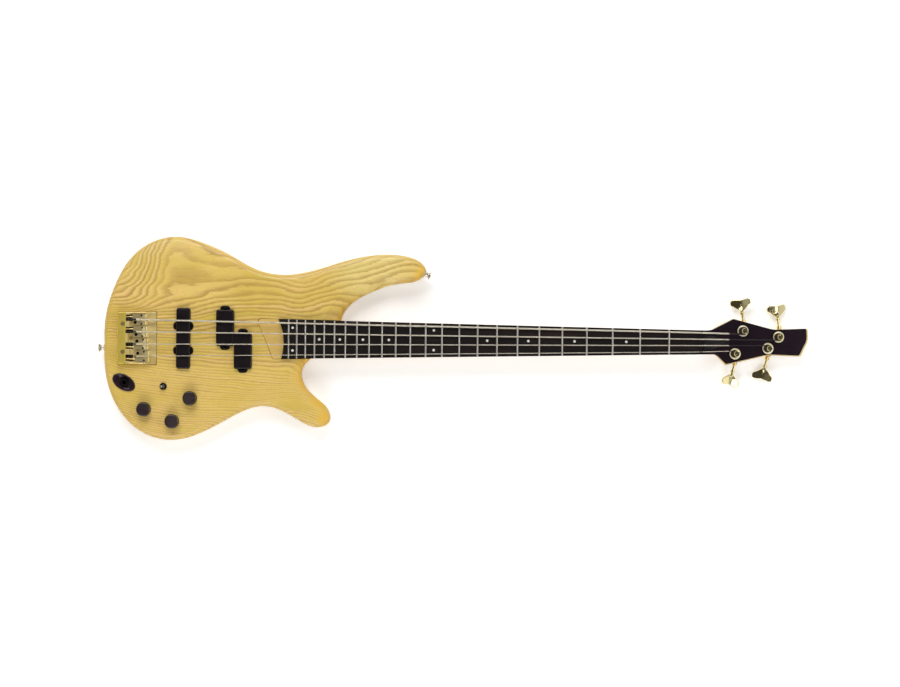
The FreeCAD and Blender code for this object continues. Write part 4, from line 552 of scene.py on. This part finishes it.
def polished_metal(name, colour, tint, rough):
    """Plated metal with smears, hairlines and a slightly uneven tone."""
    material, tree, shader = new_material(name, Metallic=1.0)
    marks = use_group(tree, HANDLING, Vector=place(tree))
    worn = marks["Smear"].spread(*rough) + marks["Hairline"] * 0.12
    paint(tree, shader, smeared(tree, marks, colour, tint), worn)
    scratch(tree, shader, marks)
    return material


# Bridge, in metres: the slots behind the saddles, whose floors get painted shade, measured across from each
# saddle's middle, and the rise of the tail block; then the screws of a saddle: place from its front, place aside
# from its middle, radius
SLOT_FRONT = -0.0290
SLOT_BACK = -0.0400
SLOT_FLOOR = 0.0433
SLOT_FLOOR_EDGE = 0.0004
SLOT_INNER = 0.0022
SLOT_OUTER = 0.0078
SLOT_EDGE = 0.0003
BLOCK_EDGE = 0.0004
BLOCK_RISE = (0.0440, 0.0450)
HEIGHT_SCREW = (-0.0100, 0.0068, 0.0015)
LOCK_SCREW = (-0.0198, 0.0044, 0.0025)

# Where the dark of a screw starts to fade and ends, as shares of its radius
SCREW_EDGES = (0.9, 1.1)


def outer_side(name):
    """1 on the bass strings and -1 on the treble strings."""
    return 1.0 if name in ("e", "a") else -1.0


def saddle_front(name):
    low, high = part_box(f"saddle_{name}")
    return high.x, (low.y + high.y) / 2


def saddle_slot_shade(y, name):
    middle = saddle_front(name)[1]
    edges = sorted((middle - outer_side(name) * SLOT_INNER, middle + outer_side(name) * SLOT_OUTER))
    return between(y, edges[0], edges[1], SLOT_EDGE)


def satin_bridge():
    """Satin gold plate and brushed tail block, with painted shade filling the floors of the saddle slots."""
    material, tree, shader = new_material("satin_bridge", Metallic=1.0)
    vector = place(tree)
    x, y, z = parts_of(tree, vector)
    marks = use_group(tree, HANDLING, Vector=vector)
    brushed = streaks(tree, vector, (2600, 90, 900))
    block = one_minus(x.ramp(SLOT_BACK - BLOCK_EDGE, SLOT_BACK + BLOCK_EDGE)) * z.ramp(*BLOCK_RISE)
    colour = smeared(tree, marks, srgb(232, 212, 150), srgb(214, 190, 122))
    tone = blend_colour(tree, brushed.ramp(0.3, 0.7), srgb(204, 180, 80), srgb(222, 198, 98))
    colour = blend_colour(tree, block, colour, tone)
    # Painted shade on the floors of the saddle slots, as near black
    slots = reduce(add, [saddle_slot_shade(y, name) for name in STRING_NAMES])
    slots = slots * between(x, SLOT_BACK, SLOT_FRONT, SLOT_EDGE)
    slots = slots * one_minus(z.ramp(SLOT_FLOOR, SLOT_FLOOR + SLOT_FLOOR_EDGE))
    colour = blend_colour(tree, slots, colour, srgb(26, 22, 18))
    paint(tree, shader, colour, marks["Smear"].spread(0.46, 0.60) + marks["Hairline"] * 0.08)
    relief(tree, shader, brushed * block - marks["Hairline"], HAIRLINE_DEPTH, HAIRLINE_STRENGTH)
    return material


def saddle_screws(name):
    """The places and radii of a saddle's two height screws and its lock screw."""
    front, middle = saddle_front(name)
    back, aside, radius = HEIGHT_SCREW
    spots = [(front + back, middle + side * aside, radius) for side in (-1.0, 1.0)]
    back, aside, radius = LOCK_SCREW
    spots.append((front + back, middle - outer_side(name) * aside, radius))
    return spots


def satin_saddle(name):
    """Satin gold saddle with dark screws."""
    material, tree, shader = new_material(f"satin_saddle_{name}", Metallic=1.0)
    vector = place(tree)
    x, y, _z = parts_of(tree, vector)
    marks = use_group(tree, HANDLING, Vector=vector)
    screws = [
        near(x, y, spot[:2], *(spot[2] * edge for edge in SCREW_EDGES)) for spot in saddle_screws(name)
    ]
    colour = smeared(tree, marks, srgb(250, 234, 182), srgb(234, 212, 150))
    colour = blend_colour(tree, reduce(add, screws), colour, srgb(40, 33, 24))
    paint(tree, shader, colour, marks["Smear"].spread(0.30, 0.44) + marks["Hairline"] * 0.08)
    scratch(tree, shader, marks)
    return material


# Tuner bushings: the bright ring lies outside this radius, in metres
BUSHING_RING = 0.0063
BUSHING_EDGE = 0.0003


def ringed_bushings():
    """Satin gold bushings, bright on the outer ring and darker inside it."""
    material, tree, shader = new_material("ringed_bushings", Metallic=1.0)
    vector = place(tree)
    x, y, _z = parts_of(tree, vector)
    marks = use_group(tree, HANDLING, Vector=vector)
    middles = [sum(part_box(f"tuner_post_{name}"), Vector()) / 2 for name in STRING_NAMES]
    inner, outer = BUSHING_RING - BUSHING_EDGE, BUSHING_RING + BUSHING_EDGE
    inside = reduce(add, [near(x, y, middle, inner, outer) for middle in middles])
    colour = smeared(tree, marks, srgb(250, 242, 208), srgb(238, 224, 176))
    colour = blend_colour(tree, inside, colour, srgb(92, 76, 44))
    paint(tree, shader, colour, marks["Smear"].spread(0.40, 0.54))
    scratch(tree, shader, marks)
    return material


def moulded_black(name, colour, sheen, rough):
    """Black moulded plastic with a fine skin and faint handling marks."""
    material, tree, shader = new_material(name, Specular_IOR_Level=0.3)
    vector = place(tree)
    skin = use_group(tree, MOULDING, Vector=vector)
    marks = use_group(tree, HANDLING, Vector=vector)
    tone = blend_colour(tree, skin["Cloud"].ramp(0.3, 0.7) * 0.6, colour, sheen)
    tone = blend_colour(tree, marks["Hairline"] * 0.2, tone, sheen)
    paint(tree, shader, tone, marks["Smear"].spread(*rough))
    relief(tree, shader, skin["Pits"], depth=0.00003, strength=0.35)
    return material


def black_lacquer(name, colour, swirl):
    """Gloss black with the long soft waves of rubbed-out lacquer and faint swirl marks."""
    material, tree, shader = new_material(
        name, Specular_IOR_Level=0.15, Coat_Weight=1.0, Coat_Roughness=0.04)
    vector = place(tree)
    marks = use_group(tree, HANDLING, Vector=vector)
    wave = noise(tree, vector, 70.0, detail=1.0)
    tone = blend_colour(tree, marks["Hairline"] * 0.15, colour, swirl)
    paint(tree, shader, tone, marks["Smear"].spread(0.12, 0.26))
    relief(tree, shader, wave, depth=0.00008, strength=0.3)
    return material


# The turned rings of a knob, in radians to the metre
KNOB_RINGS = 9000.0


def turned_knob(number):
    """Satin black knob, turned in fine rings round its own shaft, with painted shade darkening it toward the edge.
    """
    low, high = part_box(f"knob_{number}")
    centre = (low + high) / 2
    material, tree, shader = new_material(f"turned_knob_{number}", Metallic=0.2)
    vector = place(tree)
    x, y, _z = parts_of(tree, vector)
    radius = distance(x, y, centre)
    marks = use_group(tree, HANDLING, Vector=vector)
    # Painted shade: darker toward the knob's edge
    edge = (radius / (high.x - centre.x)).ramp(0.55, 0.98)
    tone = blend_colour(tree, marks["Smear"].ramp(0.3, 0.7), srgb(42, 30, 32), srgb(60, 46, 48))
    tone = blend_colour(tree, edge * 0.8, tone, srgb(22, 16, 18))
    paint(tree, shader, tone, marks["Smear"].spread(0.30, 0.44))
    relief(tree, shader, (radius * KNOB_RINGS).math("SINE"), depth=0.00002, strength=0.25)
    return material


# Strings, in metres: the winding's pitch, and the dark thread that binds the ends up to the tail's place and from
# the head's place on, each with the length over which it starts; toward the tail the dark also stands as painted
# shade in the saddle slots
WINDING_PITCH = 0.0005
TAIL_THREAD_AND_SHADE = -0.023
TAIL_THREAD_AND_SHADE_EDGE = 0.001
HEAD_THREAD = 0.908
HEAD_THREAD_EDGE = 0.003


def wound_string():
    """Round-wound nickel: ridges along the string with painted shade in their grooves, and dark thread at the
    ends, which toward the tail is also painted shade in the saddle slots.
    """
    material, tree, shader = new_material("wound_string")
    vector = place(tree)
    x, _y, _z = parts_of(tree, vector)
    ridge = (x * (math.tau / WINDING_PITCH)).math("SINE")
    marks = use_group(tree, HANDLING, Vector=vector)
    # Painted shade in the grooves between the windings, lighter on their crowns
    tone = blend_colour(tree, ridge.ramp(-0.9, 0.3), srgb(146, 139, 124), srgb(230, 222, 203))
    head = x.ramp(HEAD_THREAD, HEAD_THREAD + HEAD_THREAD_EDGE)
    # Dark thread at the tail end, also painted shade on the strings in the saddle slots
    tail = one_minus(x.ramp(TAIL_THREAD_AND_SHADE - TAIL_THREAD_AND_SHADE_EDGE, TAIL_THREAD_AND_SHADE))
    thread = head + tail
    tone = blend_colour(tree, thread, tone, srgb(26, 17, 22))
    paint(tree, shader, tone, marks["Smear"].spread(0.24, 0.38) + thread * 0.5)
    put(tree, shader.inputs["Metallic"], one_minus(thread))
    relief(tree, shader, ridge, depth=0.00008, strength=0.6)
    return material


def pearl_inlay():
    """White inlay with a faint pearly cloud."""
    material, tree, shader = new_material("pearl_inlay", Coat_Weight=0.5, Coat_Roughness=0.1)
    cloud = noise(tree, place(tree), 500.0, detail=3.0, distortion=1.5)
    tone = blend_colour(tree, cloud, srgb(226, 220, 208), srgb(246, 244, 238))
    paint(tree, shader, tone, cloud.spread(0.18, 0.32))
    relief(tree, shader, cloud, depth=0.00002, strength=0.2)
    return material


def soft_felt():
    """Black felt and foam with loose fibres."""
    material, tree, shader = new_material("soft_felt", Sheen_Weight=0.6, Sheen_Roughness=0.5)
    fibre = noise(tree, place(tree), 3200.0, detail=3.0, roughness=0.7)
    tone = blend_colour(tree, fibre, srgb(16, 15, 15), srgb(52, 48, 46))
    paint(tree, shader, tone, fibre.spread(0.85, 1.0))
    relief(tree, shader, fibre, depth=0.0002, strength=0.8)
    return material


# The pitch of the wire on a pickup coil, in metres
COIL_PITCH = 0.0003


def wound_coil():
    """Lacquered copper wire, wound in fine level turns, with painted shade between the turns."""
    material, tree, shader = new_material("wound_coil", Metallic=0.6)
    _x, _y, z = parts_of(tree, place(tree))
    turn = (z * (math.tau / COIL_PITCH)).math("SINE")
    tone = blend_colour(tree, turn.ramp(-1, 1), srgb(60, 26, 14), srgb(140, 70, 36))
    paint(tree, shader, tone, turn.spread(0.3, 0.4))
    relief(tree, shader, turn, depth=0.00006, strength=0.6)
    return material


def lead_sleeve():
    """Soft insulation of the leads in the control cavity."""
    material, tree, shader = new_material("lead_sleeve")
    cloud = noise(tree, place(tree), 300.0)
    tone = blend_colour(tree, cloud, srgb(24, 24, 25), srgb(44, 43, 42))
    paint(tree, shader, tone, cloud.spread(0.5, 0.65))
    relief(tree, shader, cloud, depth=0.00003, strength=0.3)
    return material


def make_finishes():
    """A finish for each of the record's material slots."""
    return {
        "ash_body": ash_body(),
        "maple_neck": maple_neck(),
        "dark_fretboard": dark_fretboard(),
        "nickel": polished_metal("nickel", srgb(222, 218, 208), srgb(200, 196, 186), rough=(0.22, 0.36)),
        "white_inlay": pearl_inlay(),
        "black_plastic": moulded_black(
            "moulded_black", srgb(17, 11, 13), srgb(30, 22, 24), rough=(0.26, 0.40)),
        "black_gloss": black_lacquer("black_lacquer", srgb(26, 13, 23), srgb(56, 44, 54)),
        "steel": polished_metal("zinc_plate", srgb(178, 178, 176), srgb(150, 150, 148), rough=(0.28, 0.42)),
        "gold": polished_metal("gold_plate", srgb(230, 206, 138), srgb(210, 182, 108), rough=(0.16, 0.30)),
        "string_steel": wound_string(),
        "coil": wound_coil(),
        "felt_foam": soft_felt(),
        "dark_metal": polished_metal(
            "blackened_steel", srgb(44, 42, 42), srgb(30, 28, 28), rough=(0.30, 0.45)),
        "lead_sleeve": lead_sleeve(),
    }


def own_finishes(finishes):
    """Finishes of single nodes that differ from the rest of their slot."""
    own = {"bridge_plate": satin_bridge(), "tuner_bushings": ringed_bushings()}
    own["strap_buttons"] = finishes["nickel"]
    own["jack_cup"] = black_lacquer("glossy_cup", srgb(52, 36, 44), srgb(76, 60, 68))
    own["jack_socket"] = moulded_black(
        "socket_collar", srgb(28, 19, 23), srgb(42, 31, 36), rough=(0.20, 0.34))
    own["gold_screws"] = polished_metal(
        "screw_heads", srgb(222, 198, 132), srgb(190, 164, 98), rough=(0.30, 0.44))
    key_plate = polished_metal("bright_key", srgb(232, 220, 172), srgb(212, 194, 138), rough=(0.08, 0.18))
    screw_plate = polished_metal("satin_screw", srgb(236, 218, 160), srgb(214, 192, 126), rough=(0.44, 0.58))
    for name in STRING_NAMES:
        own[f"saddle_{name}"] = satin_saddle(name)
        own[f"intonation_screw_{name}"] = screw_plate
        own[f"tuner_key_{name}"] = key_plate
        own[f"tuner_post_{name}"] = key_plate
    for number in (1, 2, 3):
        own[f"knob_{number}"] = turned_knob(number)
    return own


def dress_nodes():
    """Gives every solid its own finish, or that of the record's material slot."""
    finishes = make_finishes()
    own = own_finishes(finishes)
    slots = {row["node"]: row["material_slot"] for row in frame["record"]["subparts"]}
    for node, piece in frame["nodes"].items():
        piece.data.materials.clear()
        piece.data.materials.append(own[node] if node in own else finishes[slots[node]])
    return finishes


FINISHES = dress_nodes()


# Felt washers under the strap buttons, in metres: their section, then the seat and direction of each
FELT_HOLE = 0.0023
FELT_RADIUS = 0.0064
FELT_THICKNESS = 0.0015
FELT_ROUNDING = 0.35 * FELT_THICKNESS
FELT_STEPS = 72
HORN_TURN = math.radians(-22)
FELT_SEATS = (
    (Vector((0.4284, 0.1059, 0.020)), Vector((math.cos(HORN_TURN), math.sin(HORN_TURN), 0))),
    (Vector((-0.0746, -0.0160, 0.020)), Vector((-1, 0, 0))),
)


def felt_washer(shape, seat, axis):
    """A soft ring, spun from a rounded section."""
    part = bmesh.new()
    corners = [
        (FELT_HOLE, 0), (FELT_RADIUS, 0), (FELT_RADIUS, FELT_THICKNESS), (FELT_HOLE, FELT_THICKNESS),
    ]
    section = part.faces.new([part.verts.new((radius, 0, height)) for radius, height in corners])
    bmesh.ops.bevel(part, geom=section.verts[:], offset=FELT_ROUNDING, affect="VERTICES", segments=4,
                    profile=0.5, material=-1)
    bmesh.ops.spin(part, geom=part.faces[:] + part.edges[:] + part.verts[:], cent=(0, 0, 0),
                   axis=(0, 0, 1), angle=math.tau, steps=FELT_STEPS, use_merge=True)
    bmesh.ops.delete(part, geom=[f for f in part.faces if len(f.verts) > 4], context="FACES_ONLY")
    bmesh.ops.remove_doubles(part, verts=part.verts[:], dist=WELD)
    bmesh.ops.recalc_face_normals(part, faces=part.faces[:])
    turn = axis.to_track_quat("Z", "X").to_matrix().to_4x4()
    bmesh.ops.transform(part, matrix=turn, verts=part.verts[:])
    bmesh.ops.translate(part, vec=seat, verts=part.verts[:])
    for face in part.faces:
        face.smooth = True
    mesh = bpy.data.meshes.new("washer")
    part.to_mesh(mesh)
    part.free()
    shape.from_mesh(mesh)
    bpy.data.meshes.remove(mesh)


def felt_washers():
    shape = bmesh.new()
    for seat, axis in FELT_SEATS:
        felt_washer(shape, seat, axis)
    mesh = bpy.data.meshes.new("felt_washers")
    shape.to_mesh(mesh)
    shape.free()
    mesh.materials.append(FINISHES["felt_foam"])
    washers = add_object("felt_washers", mesh)
    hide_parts("strap_felts")
    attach(washers, "instrument")


felt_washers()


# Tuner keys, in metres: where the fold starts along the key and how far it takes to grow, its slope to both
# sides of the rib, how far the rib stands off the key's plane, and the cuts that let the wings bend
FOLD_START = 0.0290
FOLD_GROWTH = 0.0105
FOLD_SLOPE = math.tan(math.radians(14))
RIB_LIFT = 0.0026
RIB_SOFTNESS = 0.0022
FOLD_CUTS_ASIDE = (0.0, 0.0012, -0.0012, 0.0026, -0.0026, 0.0048, -0.0048, 0.0090, -0.0090)
FOLD_CUTS_ALONG = (0.0, 0.2, 0.4, 0.6, 0.8, 1.0)
HOLLOW_SIDE_UP = ("e", "d", "g")
SHARP_EDGE = math.radians(32)


def folded_key(name):
    """The key with its two wings folded along the rib, seen from the hollow or the full side."""
    plain_key = frame["nodes"][f"tuner_key_{name}"]
    turn = next(joint for joint in frame["joints"] if joint["child"] == f"tuning_key_{name}")
    foot = Vector(turn["pos_m"])
    along = Vector(turn["axis"]).normalized()
    part = bmesh.new()
    part.from_mesh(plain_key.data)
    bmesh.ops.remove_doubles(part, verts=part.verts[:], dist=WELD)
    up = max(part.faces, key=lambda face: face.calc_area()).normal.copy()
    up *= math.copysign(1.0, up.z)
    aside = along.cross(up)
    cuts = [(aside, cut) for cut in FOLD_CUTS_ASIDE]
    cuts += [(along, FOLD_START + share * FOLD_GROWTH) for share in FOLD_CUTS_ALONG]
    for across, cut in cuts:
        everything = part.verts[:] + part.edges[:] + part.faces[:]
        spot = foot + across * cut
        bmesh.ops.bisect_plane(part, geom=everything, plane_co=spot, plane_no=across, dist=WELD)
    full_side = -1.0 if name in HOLLOW_SIDE_UP else 1.0
    for vert in part.verts:
        reach = vert.co - foot
        share = min(max((reach.dot(along) - FOLD_START) / FOLD_GROWTH, 0.0), 1.0)
        share *= share * (3.0 - 2.0 * share)
        fall = FOLD_SLOPE * (math.hypot(reach.dot(aside), RIB_SOFTNESS) - RIB_SOFTNESS)
        vert.co += up * (full_side * share * (RIB_LIFT - fall))
    for face in part.faces:
        face.smooth = True
    for edge in part.edges:
        edge.smooth = edge.is_manifold and edge.calc_face_angle(0.0) < SHARP_EDGE
    mesh = bpy.data.meshes.new(f"key_{name}")
    part.to_mesh(mesh)
    part.free()
    mesh.materials.append(plain_key.data.materials[0])
    key = add_object(f"key_{name}", mesh)
    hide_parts(f"tuner_key_{name}")
    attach(key, f"tuning_key_{name}")


for string_name in STRING_NAMES:
    folded_key(string_name)


# Stage, light and camera, in metres and watts
FLOOR_HALF = 6.0
FLOOR_MIDDLE = (0.47, 0.0)
FLOOR_GAP = 0.0002
FLOOR_COLOUR = (0.86, 0.86, 0.86, 1.0)
FLOOR_GLOW = 0.38
LIGHT_AIM = (0.45, 0.0, 0.02)
SOFT_BOXES = (
    ("key_light", (-0.075, 2.2, 2.4), (2.25, 1.6), 68.0),
    ("fill_light", (-0.075, -2.4, 2.0), (2.25, 1.4), 43.0),
    ("side_light", (2.75, 0.0, 2.70), (1.6, 1.1), 22.0),
)
WHITE = (1.0, 1.0, 1.0, 1.0)
OVERHEAD_EDGES = (0.15, 0.85)
WALL_STRENGTH = 0.90
OVERHEAD_STRENGTH = 0.06


def pale_floor():
    """A pale floor that the camera and reflections see as near white, with the shadow kept."""
    mesh = bpy.data.meshes.new("floor")
    shape = bmesh.new()
    bmesh.ops.create_grid(shape, x_segments=1, y_segments=1, size=FLOOR_HALF)
    shape.to_mesh(mesh)
    shape.free()
    floor = add_object("floor", mesh)
    floor.location = (*FLOOR_MIDDLE, cad_box[0].z - FLOOR_GAP)
    material, tree, shader = new_material(
        "pale_floor", Base_Color=FLOOR_COLOUR, Roughness=0.9, Specular_IOR_Level=0.0)
    rays = tree.nodes.new("ShaderNodeLightPath")
    kinds = ("Is Camera Ray", "Is Glossy Ray", "Is Transmission Ray")
    seen = reduce(Value.most, [Value(tree, rays.outputs[kind]) for kind in kinds])
    glow = tree.nodes.new("ShaderNodeEmission")
    put(tree, glow.inputs["Strength"], seen * FLOOR_GLOW)
    both = tree.nodes.new("ShaderNodeAddShader")
    tree.links.new(shader.outputs[0], both.inputs[0])
    tree.links.new(glow.outputs[0], both.inputs[1])
    output = next(n for n in tree.nodes if n.type == "OUTPUT_MATERIAL")
    tree.links.new(both.outputs[0], output.inputs["Surface"])
    mesh.materials.append(material)


def soft_box(name, spot, size, watts):
    lamp = bpy.data.lights.new(name, "AREA")
    lamp.shape = "RECTANGLE"
    lamp.size = size[0]
    lamp.size_y = size[1]
    lamp.energy = watts
    holder = add_object(name, lamp)
    holder.location = spot
    holder.rotation_euler = (Vector(LIGHT_AIM) - Vector(spot)).to_track_quat("-Z", "Y").to_euler()
    holder.visible_camera = False


def studio_light():
    """Soft boxes on both sides of the strings and past the headstock, in a room with pale walls."""
    for name, spot, size, watts in SOFT_BOXES:
        soft_box(name, spot, size, watts)
    world = bpy.data.worlds.new("studio")
    world.use_nodes = True
    tree = world.node_tree
    sky = next(n for n in tree.nodes if n.type == "BACKGROUND")
    _x, _y, up = parts_of(tree, place(tree, "Generated"))
    overhead = up.ramp(*OVERHEAD_EDGES)
    put(tree, sky.inputs["Strength"], overhead.spread(WALL_STRENGTH, OVERHEAD_STRENGTH))
    sky.inputs["Color"].default_value = WHITE
    bpy.context.scene.world = world


def photo_camera():
    """Straight above the strings, turned by the neck's slight fall to the right."""
    across = (PICTURE_WIDTH / 2 - SCALE_END_PIXEL[0]) * METRES_PER_PIXEL
    down = (PICTURE_HEIGHT / 2 - SCALE_END_PIXEL[1]) * METRES_PER_PIXEL
    x = across * math.cos(ROLL) + down * math.sin(ROLL)
    y = across * math.sin(ROLL) - down * math.cos(ROLL)
    height = LENS * PICTURE_WIDTH * METRES_PER_PIXEL / SENSOR
    camera = bpy.data.cameras.new("photo_camera")
    camera.lens = LENS
    camera.sensor_width = SENSOR
    holder = add_object("photo_camera", camera)
    holder.location = (x, y, STRING_PLANE + height)
    holder.rotation_euler = (0.0, 0.0, ROLL)
    bpy.context.scene.camera = holder


pale_floor()
studio_light()
photo_camera()
bpy.context.scene.view_settings.view_transform = "Standard"
